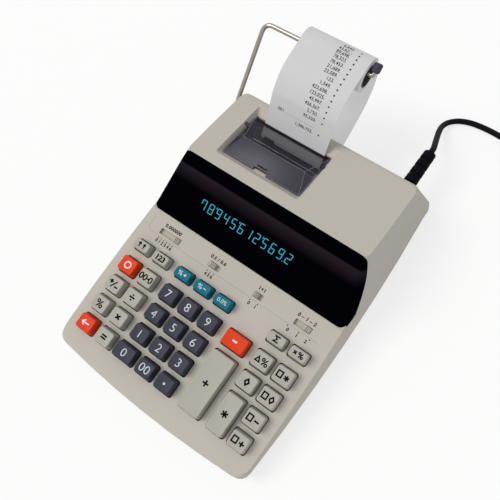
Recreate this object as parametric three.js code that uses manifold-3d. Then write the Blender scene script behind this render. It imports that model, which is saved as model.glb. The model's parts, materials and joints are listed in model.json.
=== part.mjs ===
// Desktop printing calculator: a key deck, a black display visor across the ridge, a small line printer
// under a smoked cover, and a paper roll on a bent wire behind it.
// Millimetres. +X is the user's right, +Y points away from the user, +Z is up. The origin is on the
// table, under the middle of the machine with its paper and without its cord.
import * as THREE from 'three';
import { mergeVertices } from 'three/addons/utils/BufferGeometryUtils.js';
import Module from 'manifold-3d';

const wasm = await Module();
wasm.setup();

// Clearances and moulded walls
const fit = 0.3;
const overrun = 8;
const wall = 2.4;
const weld = 0.0005;

// Case in plan, at the level where the two halves meet
const jointLevel = 17;
const halfWidth = 99.3;
const sideBow = 4.7;
const bowReach = 130;
const widestY = -42;
const sideDraft = 0.26;
const frontY = -159;
const frontBow = 5.6;
const rearY = 118;
const rearDraft = 0.39;
const frontCorner = 9;
const rearCorner = 17;
const rearCornerDraft = 0.26;
const frontRounding = 3;
const rearRounding = 2.5;

// Case in side view
const homeX = -13.8;
const homeY = -92.5;
const homeHeight = 30;
const deckSlope = THREE.MathUtils.degToRad(6.5);
const visorFootY = -19.8;
const visorFootHeight = homeHeight + (visorFootY - homeY) * Math.tan(deckSlope);
const creaseY = 15;
const creaseHeight = 73.2;
const ridgeY = 23.8;
const ridgeHeight = 79.6;
const topSlope = THREE.MathUtils.degToRad(12.1);
const skyLevel = 110;

// Visor
const visorWall = 2.4;
const visorHeelY = -3;
const visorHeelHeight = 34.3;
const visorBackPullY = 22;
const visorBackPullHeight = 55;
const visorToePullY = -13;
const visorToePullHeight = 33.6;
const visorRound = 6;
const windowWidth = 100;
const windowHeight = 19;
const windowX = -8.5;
const windowRise = 25;

// Display tube behind the window
const tubeWidth = 106;
const tubeHeight = 25;
const tubeThick = 7;

// Keys
const keyPitch = 19.9;
const rowPitch = 19.3;
const keyWidth = 16.6;
const keyDepth = 14.8;
const smallKeyDepth = 10.3;
const shortRowRise = 38.9;
const groupGap = 3.5;
const plusWidth = 21.8;
const plusGap = 7.2;
const memoryGap = 5.9;
const memoryPitch = 19.6;
const zeroExtra = 3.6;
const keyRise = 8.6;
const keyRound = 2.2;
const keyDraft = 1;
const keyBrow = 0.8;
const keyBrowDrop = 1;
const keyDish = 0.5;
const keyTravel = 3;
const keyGap = 0.4;
const openingCorner = 1.3;
const flangeOut = 1;
const flangeThick = 1.3;

// Rubber mat and circuit board under the keys
const matThick = 1.4;
const domeRise = 1;
const domeRadius = 4;
const boardThick = 1.6;
const boardMargin = 3;
const boardFront = 1.5;
const boardBack = 66;
const mainBoardWidth = 62;
const mainBoardDepth = 52;
const mainBoardInset = 5.5;
const mainBoardY = 48;
const mainBoardHeight = 12;
const coreWidth = 38;
const coreDepth = 16;
const coreHeight = 28;
const windingProud = 4;
const capacitorRadius = 7;
const capacitorHeight = 24;
const ribbonWidth = 34;
const ribbonThick = 0.8;

// Slide switches on the strip below the visor
const switchRise = 58.8;
const switchDepth = 5;
const decimalSlot = 20.9;
const roundingSlot = 11.4;
const totalSlot = 8.4;
const powerSlot = 15.2;
const decimalPlace = -50.8;
const roundingPlace = -4.2;
const totalPlace = 39.2;
const powerPlace = 81;
const knobLength = 6.6;
const shortKnobLength = 4.6;
const knobRise = 1.2;
const knobRidge = 0.9;
const knobRidges = 3;
const knobDraft = 0.4;
const knobPlate = 1.2;
const knobPlateRim = 1.2;

// Well in the top deck for the printer cover
const wellLeft = -60;
const wellRight = 12.6;
const wellFront = 17.4;
const wellBack = 65.4;
const wellDepth = 5;
const wellFlare = 2.7;
const wellRamp = 5.8;
const wellRearRamp = 6.4;
const wellRound = 2.4;
const wellLedge = 3;

// Smoked cover
const coverWall = 1.6;
const coverLip = 1.2;
const coverRidge = 36;
const coverTear = 61.6;
const coverFlank = 7;
const coverTop = 1.5;
const coverBaseGap = 0.4;
const coverCorner = 1.2;
const notchX = -24.5;
const notchWidth = 12;
const notchDepth = 2.2;
const pivotBack = 51.3;
const pivotDrop = 2.8;
const pivotRadius = 1.6;
const pivotReach = 3;
const tailRoomFront = 44;

// Printer
const printerLeft = -56;
const printerRight = 8.6;
const plateThick = 1.5;
const printerFloor = 25;
const printerFront = 44;
const printerBack = 96;
const rollerY = 86.2;
const rollerHeight = 49.5;
const rollerRadius = 7;
const rollerFace = 58.4;
const axleRadius = 2;
const axleReach = 2;
const gearRadius = 8.5;
const gearThick = 3;
const rodY = 63;
const rodHeight = 43;
const rodRadius = 1.6;
const rodSpread = 9;
const carriageWidth = 17;
const carriageDepth = 17;
const carriageHeight = 17;
const carriageX = -42;
const headWidth = 9;
const headHeight = 8;
const headReach = 77.8;
const headRise = 46;
const inkRadius = 5.5;
const inkWidth = 10;
const inkRise = 4;
const motorRadius = 10;
const motorLength = 24;
const motorY = 62;
const motorHeight = 38;
const plateTop = 53;
const plateFront = 51;
const bridgeTop = 58;
const bridgeDepth = 3;

// Paper roll, its wire arm and the paper web
const paperWidth = 57.5;
const paperX = -22.4;
const paperThick = 0.3;
const rollY = 140.85;
const rollHeight = 97.5;
const rollRadius = 13.1;
const coreRadius = 9.1;
const boreRadius = 8;
const wireRadius = 1.9;
const wireInset = 12.7;
const wireAheadOfRoll = 1.9;
const wireOverRoll = 5.4;
const wireFootY = 76;
const wireFootHeight = 34.5;
const wireBend = 8;
const wirePastPaper = 4.5;
const wireHookLength = 8.5;
const wireHookBend = 2.5;
const wireHookShare = [0, 0.8, 0.6];
const retainerRise = 2.6;
const retainerRadius = 3.6;
const retainerLength = 7.4;
const retainerEdge = 1;
const socketWall = 2.4;
const socketReach = 30;

// Paper path through the machine
const webGap = 0.3;
const webClimb = [[94.9, 81.5], [100.2, 91.5], [112.4, 103.4]];
const slotExitY = 86.5;
const slotExitHeight = 62.8;
const webEndRadius = 14;
const webEndStart = 118;
const webEndFinish = 10;
const webSupply = [
  [158.7, 85.4], [156.8, 72], [151.1, 60], [140, 48], [118.3, 34.6], [111.4, 31.2], [105.6, 30.8],
];
const webTurnIn = [100, 33];
const inletHeight = 31.4;
const inletGap = 2.4;

// Lower half, feet and screws
const footRise = 3;
const lowerInset = 0.4;
const bellyInset = 4;
const bellyRise = 4;
const rimRise = 2.5;
const rimThick = 1.6;
const footRadius = 7.5;
const footInset = 19.3;
const footFrontY = -134;
const footRearY = 92;
const boardPostRadius = 3;
const bossRadius = 3.6;
const pedestalRadius = 5.2;
const pedestalRise = 3.4;
const screwRadius = 1.4;
const screwHeadRadius = 2.9;
const screwHeadThick = 2;
const screwSink = 1;
const screwGrip = 4;
const bossFrontY = -144.5;
const bossFrontInset = 17.3;
const bossRearY = 80;
const bossRearInset = 29.3;

// Mains cord
const reliefX = 70.1;
const reliefHeight = 36;
const reliefEndY = 144.9;
const reliefRibs = 4;
const reliefRibShare = 0.55;
const reliefGroove = 1.3;
const reliefRadius = 5.7;
const reliefTipRadius = 5;
const reliefNeck = 4.2;
const reliefFlange = 6.5;
const reliefFlangeThick = 2.5;
const reliefSink = 6;
const cordRadius = 2.5;
const cordRoute = [
  [70.1, 146, 36], [69.5, 152.5, 33.2], [67.6, 160.2, 28.4], [65.2, 169.8, 22], [62.8, 180.5, 15],
  [61.7, 190.5, 8.6], [63.6, 199.2, 4.4], [69.2, 205.6, 2.8], [77.5, 209.4, 2.6], [88.5, 211.2, 2.6],
  [105, 211.2, 2.6], [121.5, 209, 2.6],
];
const coilX = 152;
const coilY = 241;
const coilMeanRadius = 28.3;
const coilPitch = 5.6;
const coilLayers = 4;
const coilTurns = 9;
const coilSteps = 24;
const coilSides = 6;
const coilTurnIn = 21;
const plugLength = 36;
const plugWidth = 30;
const plugThick = 15;
const plugNeck = 9;
const plugEdge = 4;
const pinSpacing = 18.6;
const pinRadius = 2;
const pinLength = 19;

// Facets
const cornerSteps = 4;
const edgeSteps = 6;
const postSides = 8;
const domeSides = 4;
const roundSteps = 24;
const bendSteps = 5;
const webSteps = 5;
const cordSides = 10;
const cordSteps = 26;

const deckHeight = (y) => homeHeight + (y - homeY) * Math.tan(deckSlope);
const topHeight = (y) => ridgeHeight - (y - ridgeY) * Math.tan(topSlope);

// Finishes
const finish = (color, roughness, metalness = 0) =>
  new THREE.MeshStandardMaterial({ color, roughness, metalness });
const cream = finish(0xc6c2b6, 0.55);
const charcoal = finish(0x42434b, 0.5);
const orange = finish(0xde4428, 0.45);
const teal = finish(0x087387, 0.45);
const blackGloss = finish(0x08080a, 0.12);
const smoke = finish(0x3c3c4b, 0.1);
const steel = finish(0x9a978e, 0.3, 0.9);
const black = finish(0x1c1a20, 0.6);
const paper = finish(0xcdcbd0, 0.85);
const rubber = finish(0x2b2b2e, 0.9);
const green = finish(0x2d6b45, 0.6);
const slateGlass = finish(0x1d3a40, 0.1);
const darkPlastic = finish(0x33343a, 0.6);
const bone = finish(0xb4b0a2, 0.5);

// A closed body through rings of points. Each ring runs anticlockwise about the direction of travel.
function loft(rings, crown) {
  const count = rings[0].length;
  const positions = rings.flat().flatMap((p) => [p.x, p.y, p.z]);
  const index = [];
  for (let i = 0; i + 1 < rings.length; i += 1) {
    for (let j = 0; j < count; j += 1) {
      const a = i * count + j;
      const b = i * count + (j + 1) % count;
      index.push(a, b, b + count, a, b + count, a + count);
    }
  }
  const last = (rings.length - 1) * count;
  for (let j = 1; j + 1 < count; j += 1) {
    index.push(0, j + 1, j);
    if (!crown) index.push(last, last + j, last + j + 1);
  }
  if (crown) {
    positions.push(crown.x, crown.y, crown.z);
    const peak = rings.length * count;
    for (let j = 0; j < count; j += 1) index.push(last + j, last + (j + 1) % count, peak);
  }
  const geometry = new THREE.BufferGeometry();
  geometry.setAttribute('position', new THREE.Float32BufferAttribute(positions, 3));
  geometry.setIndex(index);
  return geometry;
}

function solid(geometry) {
  const bare = geometry.clone();
  bare.deleteAttribute('normal');
  bare.deleteAttribute('uv');
  const merged = mergeVertices(bare, weld);
  const vertProperties = new Float32Array(merged.attributes.position.array);
  return new wasm.Manifold(new wasm.Mesh({ numProp: 3, vertProperties,
    triVerts: new Uint32Array(merged.index.array) }));
}

function surface(body) {
  const mesh = body.getMesh();
  const geometry = new THREE.BufferGeometry();
  geometry.setAttribute('position', new THREE.BufferAttribute(new Float32Array(mesh.vertProperties), 3));
  geometry.setIndex(new THREE.BufferAttribute(new Uint32Array(mesh.triVerts), 1));
  return geometry;
}

const joined = (geometries) => geometries.map(solid).reduce((sum, body) => sum.add(body));

function mesh(name, geometry, material) {
  const piece = new THREE.Mesh(geometry, material);
  piece.name = name;
  return piece;
}

// A prism across the machine: the outline is given in side view as [y, z] points.
function across(outline, left, right) {
  const shape = new THREE.Shape(outline.map(([y, z]) => new THREE.Vector2(y, z)));
  const geometry = new THREE.ExtrudeGeometry(shape, { depth: right - left, bevelEnabled: false });
  const turn = new THREE.Matrix4().makeBasis(
    new THREE.Vector3(0, 1, 0), new THREE.Vector3(0, 0, 1), new THREE.Vector3(1, 0, 0));
  return geometry.applyMatrix4(turn).translate(left, 0, 0);
}

function block(width, depth, height, x, y, z) {
  return new THREE.BoxGeometry(width, depth, height).translate(x, y, z);
}

function rodAcross(radius, length, x, y, z, steps = roundSteps) {
  return new THREE.CylinderGeometry(radius, radius, length, steps).rotateZ(Math.PI / 2).translate(x, y, z);
}

function post(radius, low, high, x, y, steps = roundSteps) {
  return new THREE.CylinderGeometry(radius, radius, high - low, steps).rotateX(Math.PI / 2)
    .translate(x, y, (low + high) / 2);
}

// A rounded rectangle as points, anticlockwise about +Z.
function roundedRectangle(width, depth, radius, z, steps = 2, x = 0, y = 0) {
  const points = [];
  const corners = [[1, -1, -Math.PI / 2], [1, 1, 0], [-1, 1, Math.PI / 2], [-1, -1, Math.PI]];
  for (const [sx, sy, start] of corners) {
    for (let k = 0; k <= steps; k += 1) {
      const angle = start + (Math.PI / 2) * (k / steps);
      points.push(new THREE.Vector3(
        x + sx * (width / 2 - radius) + radius * Math.cos(angle),
        y + sy * (depth / 2 - radius) + radius * Math.sin(angle), z));
    }
  }
  return points;
}

// Moves an open side-view line sideways by a distance, to the left of its direction of travel.
function offsetLine(points, distance) {
  const normals = points.slice(1).map(([y, z], k) => {
    const [dy, dz] = [y - points[k][0], z - points[k][1]];
    const length = Math.hypot(dy, dz);
    return [-dz / length, dy / length];
  });
  return points.map(([y, z], k) => {
    const before = normals[Math.max(k - 1, 0)];
    const after = normals[Math.min(k, normals.length - 1)];
    const share = distance / (1 + before[0] * after[0] + before[1] * after[1]);
    return [y + (before[0] + after[0]) * share, z + (before[1] + after[1]) * share];
  });
}

function bezier(from, pull, to, steps) {
  const points = [];
  for (let k = 1; k <= steps; k += 1) {
    const t = k / steps;
    points.push(from.map((value, axis) => (1 - t) ** 2 * value + 2 * t * (1 - t) * pull[axis] + t * t
      * to[axis]));
  }
  return points;
}

// Upper half of the case. Its plan draws in with height on the sides and at the back, the front edge
// bows, and the front and rear top edges are rounded.
const frontTop = deckHeight(frontY + frontRounding);
const rearEdgeY = (() => {
  const fall = Math.tan(topSlope) * rearDraft;
  return (rearY - rearDraft * (ridgeHeight - jointLevel) - fall * ridgeY) / (1 - fall);
})();
const rearTop = topHeight(rearEdgeY - rearRounding);
const frontShares = [0, 1 / 3, 2 / 3, 1];
const rearShares = [0, 1 / 2, 1];

function levels(lowest) {
  const rise = (shares, top, radius) => shares.map((share) => top - radius + radius
    * Math.sin(share * Math.PI / 2));
  return [lowest, ...rise(frontShares, frontTop, frontRounding),
    ...rise(rearShares, rearTop, rearRounding), skyLevel];
}

function retreat(level, top, radius) {
  const height = THREE.MathUtils.clamp((level - top) / radius + 1, 0, 1);
  return radius * (1 - Math.sqrt(1 - height * height));
}

const sideLine = (y, level, inset) => (
  halfWidth - sideBow * ((y - widestY) / bowReach) ** 2 - sideDraft * (level - jointLevel) - inset);

function planOutline(level, inset) {
  const rise = level - jointLevel;
  const sideAt = (y) => sideLine(y, level, inset);
  const frontAt = (x) => frontY + frontBow * (x / halfWidth) ** 2
    + retreat(level, frontTop, frontRounding) + inset;
  const rear = rearY - rearDraft * rise - retreat(level, rearTop, rearRounding) - inset;
  const front = frontAt(sideAt(frontY));
  const rearTurn = Math.max(rearCorner - rearCornerDraft * rise, rearRounding);
  const corners = [
    [sideAt(front) - frontCorner, frontAt(sideAt(front) - frontCorner), sideAt(front), front,
      sideAt(front + frontCorner), front + frontCorner],
    [sideAt(rear - rearTurn), rear - rearTurn, sideAt(rear), rear, sideAt(rear) - rearTurn, rear],
  ];
  const right = [];
  for (let k = edgeSteps / 2; k < edgeSteps; k += 1) {
    const x = corners[0][0] * (2 * k / edgeSteps - 1);
    right.push([x, frontAt(x)]);
  }
  const [fromX, fromY, pullX, pullY, toX, toY] = corners[0];
  right.push([fromX, fromY], ...bezier([fromX, fromY], [pullX, pullY], [toX, toY], cornerSteps));
  for (let k = 1; k < edgeSteps; k += 1) {
    const y = toY + (corners[1][1] - toY) * (k / edgeSteps);
    right.push([sideAt(y), y]);
  }
  const [rearFromX, rearFromY, rearPullX, rearPullY, rearToX, rearToY] = corners[1];
  right.push([rearFromX, rearFromY],
    ...bezier([rearFromX, rearFromY], [rearPullX, rearPullY], [rearToX, rearToY], cornerSteps));
  const left = right.slice(1).reverse().map(([x, y]) => [-x, y]);
  return [...right, ...left].map(([x, y]) => new THREE.Vector3(x, y, level));
}

const caseBody = (inset, lowest) => solid(loft(levels(lowest).map((level) => planOutline(level, inset))));
const wide = halfWidth + overrun;
const farY = rearY + overrun * 2;
const nearY = frontY - overrun * 2;
const topLine = [
  [nearY, deckHeight(nearY)], [visorFootY, visorFootHeight], [creaseY, creaseHeight],
  [ridgeY, ridgeHeight], [farY, topHeight(farY)],
];
const deckLine = [[nearY, deckHeight(nearY)], [farY, deckHeight(farY)]];
const under = (line, low) => solid(across([...line, [farY, low], [nearY, low]], -wide, wide));
const belowJoint = jointLevel - overrun;

// Rounds the edge between the visor's face and its end faces, at a depth under the outer surface.
function cheek(inset) {
  const [, foot, crease, ridge] = offsetLine(topLine, -inset);
  const slopeShare = (crease[0] - foot[0]) / (crease[1] - foot[1]);
  const browShare = (ridge[0] - crease[0]) / (ridge[1] - crease[1]);
  const stations = [
    [foot[0] - overrun * 3 * slopeShare, foot[1] - overrun * 3], foot, crease, ridge,
    [ridge[0] + (skyLevel - ridge[1]) * browShare, skyLevel],
  ];
  return solid(loft(stations.map(([front, level]) => {
    const side = (y) => sideLine(y, level, inset);
    const right = [
      [0, front], [side(front) - visorRound, front],
      ...bezier([side(front) - visorRound, front], [side(front), front],
        [side(front + visorRound), front + visorRound],
        cornerSteps),
      [wide, front + visorRound + overrun], [wide, farY],
    ];
    const left = right.slice(1).reverse().map(([x, y]) => [-x, y]);
    return [...right, ...left].map(([x, y]) => new THREE.Vector3(x, y, level));
  })));
}

const outer = (inset, low) => caseBody(inset, low).intersect(under(offsetLine(topLine, -inset), low))
  .intersect(cheek(inset).add(under(offsetLine(deckLine, -inset), low)));
const caseInside = (depth) => outer(depth, belowJoint);

// The visor in side view: its front, then the curved edge of its end faces.
const visorOutline = [
  [visorFootY, visorFootHeight], [creaseY, creaseHeight], [ridgeY, ridgeHeight],
  ...bezier([ridgeY, ridgeHeight], [visorBackPullY, visorBackPullHeight], [visorHeelY, visorHeelHeight],
    cornerSteps * 2),
  ...bezier([visorHeelY, visorHeelHeight], [visorToePullY, visorToePullHeight], [visorFootY, visorFootHeight],
    cornerSteps).slice(0, -1),
];
function visorBlock(grow) {
  const closed = [visorOutline.at(-1), ...visorOutline, visorOutline[0]];
  return solid(across(offsetLine(closed, grow).slice(1, -1), -wide, wide));
}

const deckFrame = new THREE.Matrix4().makeTranslation(homeX, homeY, homeHeight)
  .multiply(new THREE.Matrix4().makeRotationX(deckSlope));
const topFrame = new THREE.Matrix4().makeTranslation(0, ridgeY, ridgeHeight)
  .multiply(new THREE.Matrix4().makeRotationX(-topSlope));
const faceSlope = Math.atan2(creaseHeight - visorFootHeight, creaseY - visorFootY);
const faceFrame = new THREE.Matrix4().makeTranslation(0, visorFootY, visorFootHeight)
  .multiply(new THREE.Matrix4().makeRotationX(faceSlope));

// Depths under the deck, from the deck's underside to the underside of the circuit board
const flangeTop = wall + fit;
const flangeLow = flangeTop + flangeThick;
const domeTop = flangeLow + keyTravel + fit;
const matTop = domeTop + domeRise;
const boardTop = matTop + matThick + fit;
const boardLow = boardTop + boardThick;

// Key layout, measured from the middle key of the number pad.
const pad = [-keyPitch, 0, keyPitch];
const operator = -2 * keyPitch - groupGap;
const clear = operator - keyPitch;
const plus = keyPitch + keyWidth / 2 + plusGap + plusWidth / 2;
const firstMemory = plus + plusWidth / 2 + memoryGap + keyWidth / 2;
const secondMemory = firstMemory + memoryPitch;
const keys = [];
function addKey(name, x, y, material, width = keyWidth, depth = keyDepth) {
  keys.push({ name, x, y, material, width, depth });
}
[['7', '8', '9'], ['4', '5', '6'], ['1', '2', '3']].forEach((row, k) => {
  row.forEach((digit, column) => addKey(`key_${digit}`, pad[column], (1 - k) * rowPitch, charcoal));
});
addKey('key_0', pad[0] - zeroExtra / 2, -2 * rowPitch, charcoal, keyWidth + zeroExtra);
addKey('key_00', pad[1], -2 * rowPitch, charcoal);
addKey('key_point', pad[2], -2 * rowPitch, charcoal);
['key_clear', 'key_sign', 'key_percent', 'key_clear_entry'].forEach((name, k) => {
  addKey(name, clear, (1 - k) * rowPitch, k % 3 === 0 ? orange : cream);
});
['key_zeros', 'key_divide', 'key_multiply', 'key_equals'].forEach((name, k) => {
  addKey(name, operator, (1 - k) * rowPitch, cream);
});
addKey('key_minus', plus, rowPitch, orange, plusWidth);
addKey('key_plus', plus, -rowPitch, cream, plusWidth, 2 * rowPitch + keyDepth);
addKey('key_delta_percent', firstMemory, rowPitch, cream);
addKey('key_diamond', firstMemory, 0, cream);
addKey('key_total', firstMemory, -1.5 * rowPitch, cream, keyWidth, rowPitch + keyDepth);
['key_memory_total', 'key_memory_subtotal', 'key_memory_minus', 'key_memory_plus'].forEach((name, k) => {
  addKey(name, secondMemory, (1 - k) * rowPitch, cream);
});
addKey('key_feed', clear, shortRowRise, cream, keyWidth, smallKeyDepth);
addKey('key_print', operator, shortRowRise, cream, keyWidth, smallKeyDepth);
['key_tax_plus', 'key_tax_minus', 'key_rate'].forEach((name, k) => {
  addKey(name, pad[k], shortRowRise, teal, keyWidth, smallKeyDepth);
});
addKey('key_grand_total', firstMemory, shortRowRise, cream, keyWidth, smallKeyDepth);
addKey('key_mark_up', secondMemory, shortRowRise, cream, keyWidth, smallKeyDepth);

const switches = [
  { name: 'decimal_slider', x: decimalPlace, slot: decimalSlot, knob: knobLength, rest: 1 },
  { name: 'rounding_slider', x: roundingPlace, slot: roundingSlot, knob: knobLength, rest: -1 },
  { name: 'total_slider', x: totalPlace, slot: totalSlot, knob: shortKnobLength, rest: -1 },
  { name: 'power_slider', x: powerPlace, slot: powerSlot, knob: knobLength, rest: 1 },
];

function deckOpening(width, depth, radius, x, y) {
  const low = roundedRectangle(width, depth, radius, -overrun, 1, x, y);
  const high = roundedRectangle(width, depth, radius, overrun, 1, x, y);
  return solid(loft([low, high]).applyMatrix4(deckFrame));
}

// The well: a tub hung under the top deck, with a flared rim and a ramp behind the paper slot.
const wellMiddle = (wellLeft + wellRight) / 2;
function wellShape(grow, depth) {
  const ring = (drop) => {
    const share = 1 - drop / wellDepth;
    const front = wellFront - wellRamp * share - grow;
    const back = wellBack + wellRearRamp * share + grow;
    const width = wellRight - wellLeft + 2 * (wellFlare * share + grow);
    return roundedRectangle(width, back - front, wellRound, -drop, 2, wellMiddle, (front + back) / 2);
  };
  return solid(loft([ring(depth), ring(-wall)]).applyMatrix4(topFrame));
}
function wellHole(front, ledge) {
  const [width, depth] = [wellRight - wellLeft - 2 * ledge, wellBack - front];
  return solid(block(width, depth, overrun * 2, wellMiddle, front + depth / 2,
    -wellDepth).applyMatrix4(topFrame));
}
const pegHole = solid(rodAcross(pivotRadius + fit, wellRight - wellLeft + 2 * (pivotReach + fit),
  wellMiddle, pivotBack,
  -pivotDrop, roundSteps / 2).applyMatrix4(topFrame));

// The wire's foot slants down into a socket moulded inside the left wall.
const wireX = wireInset - halfWidth;
const wireY = rollY - wireAheadOfRoll;
const wireHeight = rollHeight + wireOverRoll;
const wireFoot = new THREE.Vector3(wireX, wireFootY, wireFootHeight);
const wireShoulder = new THREE.Vector3(wireX, wireY, wireHeight);
const wireRise = wireShoulder.clone().sub(wireFoot).normalize();
function alongLeg(radius, from, to) {
  const turn = new THREE.Quaternion().setFromUnitVectors(new THREE.Vector3(0, 1, 0), wireRise);
  const middle = wireFoot.clone().addScaledVector(wireRise, (from + to) / 2);
  return solid(new THREE.CylinderGeometry(radius, radius, to - from, roundSteps / 2)
    .applyQuaternion(turn).translate(middle.x, middle.y, middle.z));
}

const bossFrontX = halfWidth - bossFrontInset;
const bossRearX = halfWidth - bossRearInset;
const bosses = [
  [-bossFrontX, bossFrontY], [bossFrontX, bossFrontY], [-bossRearX, bossRearY], [bossRearX, bossRearY],
];
const screwHole = ([x, y]) => solid(post(screwRadius + fit, footRise, jointLevel + screwGrip + fit, x, y,
  postSides));
const rearWallAt = (level) => rearY - rearDraft * (level - jointLevel);
const alongY = (radius, from, to, x, z, steps = roundSteps) => (
  new THREE.CylinderGeometry(radius, radius, to - from, steps).translate(x, (from + to) / 2, z));

function upperHousing() {
  const shell = outer(0, jointLevel);
  let hollow = caseInside(wall).subtract(visorBlock(fit + wall)).add(caseInside(visorWall + fit + wall))
    .subtract(wellShape(wall, wellDepth + wall)).subtract(alongLeg(wireRadius + socketWall, -wall,
      socketReach));
  for (const [x, y] of bosses) {
    hollow = hollow.subtract(solid(post(bossRadius, jointLevel, skyLevel, x, y, postSides)));
  }
  const window = solid(block(windowWidth, windowHeight, overrun * 3, windowX, windowRise,
    0).applyMatrix4(faceFrame));
  const inlet = solid(block(paperWidth + 2 * inletGap, overrun * 2, 2 * inletGap, paperX,
    rearWallAt(inletHeight),
    inletHeight));
  const relief = solid(alongY(reliefNeck + fit, rearWallAt(reliefHeight) - overrun, rearY, reliefX,
    reliefHeight,
    roundSteps / 2));
  let body = shell.subtract(hollow)
    .subtract(visorBlock(fit).subtract(caseInside(visorWall + fit)))
    .subtract(wellShape(0, wellDepth)).subtract(wellHole(wellFront + wellLedge, wellLedge))
    .subtract(wellHole(tailRoomFront, 0)).subtract(pegHole)
    .subtract(window).subtract(inlet).subtract(relief)
    .subtract(alongLeg(wireRadius + fit, 0, skyLevel));
  for (const place of bosses) body = body.subtract(screwHole(place));
  for (const key of keys) {
    body = body.subtract(deckOpening(key.width + 2 * keyGap, key.depth + 2 * keyGap, openingCorner, key.x,
      key.y));
  }
  for (const slider of switches) {
    body = body.subtract(deckOpening(slider.slot, switchDepth, keyGap, slider.x, switchRise));
  }
  return surface(body);
}

const displayVisor = () => surface(visorBlock(0).intersect(outer(0, belowJoint))
  .subtract(caseInside(visorWall)));

function displayTube() {
  const depth = visorWall + fit + wall + fit;
  return block(tubeWidth, tubeHeight, tubeThick, windowX, windowRise, -depth
    - tubeThick / 2).applyMatrix4(faceFrame);
}

// Keys: a flange under the deck, drawn-in walls, a rounded brow and a dished top.
function keyCap(width, depth) {
  const ring = (grow, level) => roundedRectangle(width + 2 * grow, depth + 2 * grow, keyRound, level);
  return loft([
    ring(flangeOut, -flangeLow), ring(flangeOut, -flangeTop), ring(0, -flangeTop),
    ring(-keyDraft, keyRise - keyBrowDrop), ring(-keyDraft - keyBrow, keyRise),
  ], new THREE.Vector3(0, 0, keyRise - keyDish));
}

// Slide knobs: a plate that covers the slot from below and a ridged thumb piece.
function slideKnob(slot, knob) {
  const depth = switchDepth - 2 * fit;
  const plate = block(2 * slot - knob, switchDepth + 2 * knobPlateRim, knobPlate, 0, 0, -flangeTop
    - knobPlate / 2);
  const thumb = loft([
    roundedRectangle(knob, depth, fit, -flangeTop, 1), roundedRectangle(knob, depth, fit, 0, 1),
    roundedRectangle(knob - 2 * knobDraft, depth - knobDraft, fit, knobRise, 1),
  ]);
  const ridges = [];
  for (let k = 0; k < knobRidges; k += 1) {
    const pitch = (knob - 2 * knobDraft) / (knobRidges + 1);
    ridges.push(block(pitch / 2, depth - knobDraft, knobRidge + knobDraft, (k - (knobRidges - 1) / 2)
      * pitch, 0,
      knobRise + (knobRidge - knobDraft) / 2));
  }
  return surface(joined([plate, thumb, ...ridges]));
}

const layerLeft = clear - keyWidth / 2 - boardMargin;
const layerRight = secondMemory + keyWidth / 2 + boardMargin;
const layerFront = -2 * rowPitch - keyDepth / 2 - boardFront;
const layerWidth = layerRight - layerLeft;
const layerX = (layerLeft + layerRight) / 2;

function keyMat() {
  const back = shortRowRise + smallKeyDepth / 2 + boardFront;
  const sheet = block(layerWidth, back - layerFront, matThick, layerX, (back + layerFront) / 2, -matTop
    - matThick / 2);
  const domes = keys.map((key) => (
    new THREE.CylinderGeometry(domeRadius / 2, domeRadius, domeRise + matThick / 2, domeSides)
      .rotateX(Math.PI / 2).translate(key.x, key.y, -domeTop - (domeRise + matThick / 2) / 2)));
  return surface(joined([sheet, ...domes]));
}

const mainBoardX = homeX + layerRight - mainBoardInset - mainBoardWidth / 2;

// The key board follows the deck. A ribbon joins it to the level board that carries the transformer.
function circuitBoard() {
  const keyBoard = block(layerWidth, boardBack - layerFront, boardThick, layerX, (boardBack + layerFront) / 2,
    -boardTop - boardThick / 2).applyMatrix4(deckFrame);
  const mainBoard = block(mainBoardWidth, mainBoardDepth, boardThick, mainBoardX, mainBoardY,
    mainBoardHeight + boardThick / 2);
  const parts = mainBoardHeight + boardThick / 2;
  const capacitors = [1, 3].map((radii) => post(capacitorRadius, parts, parts + capacitorHeight,
    mainBoardX + mainBoardWidth / 2 - radii * (capacitorRadius + fit), mainBoardY + mainBoardDepth / 2
      - capacitorRadius,
    roundSteps / 2));
  const start = new THREE.Vector3(mainBoardX - homeX, boardBack, -boardLow).applyMatrix4(deckFrame);
  const ribbon = across([
    [start.y - ribbonThick, start.z + ribbonThick], [start.y - ribbonThick, start.z],
    [mainBoardY - mainBoardDepth / 2, mainBoardHeight + ribbonThick],
    [mainBoardY - mainBoardDepth / 2 + ribbonThick, mainBoardHeight + ribbonThick],
    [mainBoardY - mainBoardDepth / 2 + ribbonThick, mainBoardHeight + boardThick],
  ], mainBoardX - ribbonWidth / 2, mainBoardX + ribbonWidth / 2);
  return surface(joined([keyBoard, mainBoard, ribbon, ...capacitors]));
}
const transformerY = mainBoardY - mainBoardDepth / 2 + coreDepth / 2 + windingProud + overrun;
function transformer() {
  const low = mainBoardHeight + boardThick + fit;
  return surface(joined([
    block(coreWidth, coreDepth, coreHeight, mainBoardX, transformerY, low + coreHeight / 2),
    block(coreWidth - 2 * windingProud, coreDepth + 2 * windingProud, coreHeight - 2 * windingProud,
      mainBoardX,
      transformerY, low + coreHeight / 2),
  ]));
}

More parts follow.
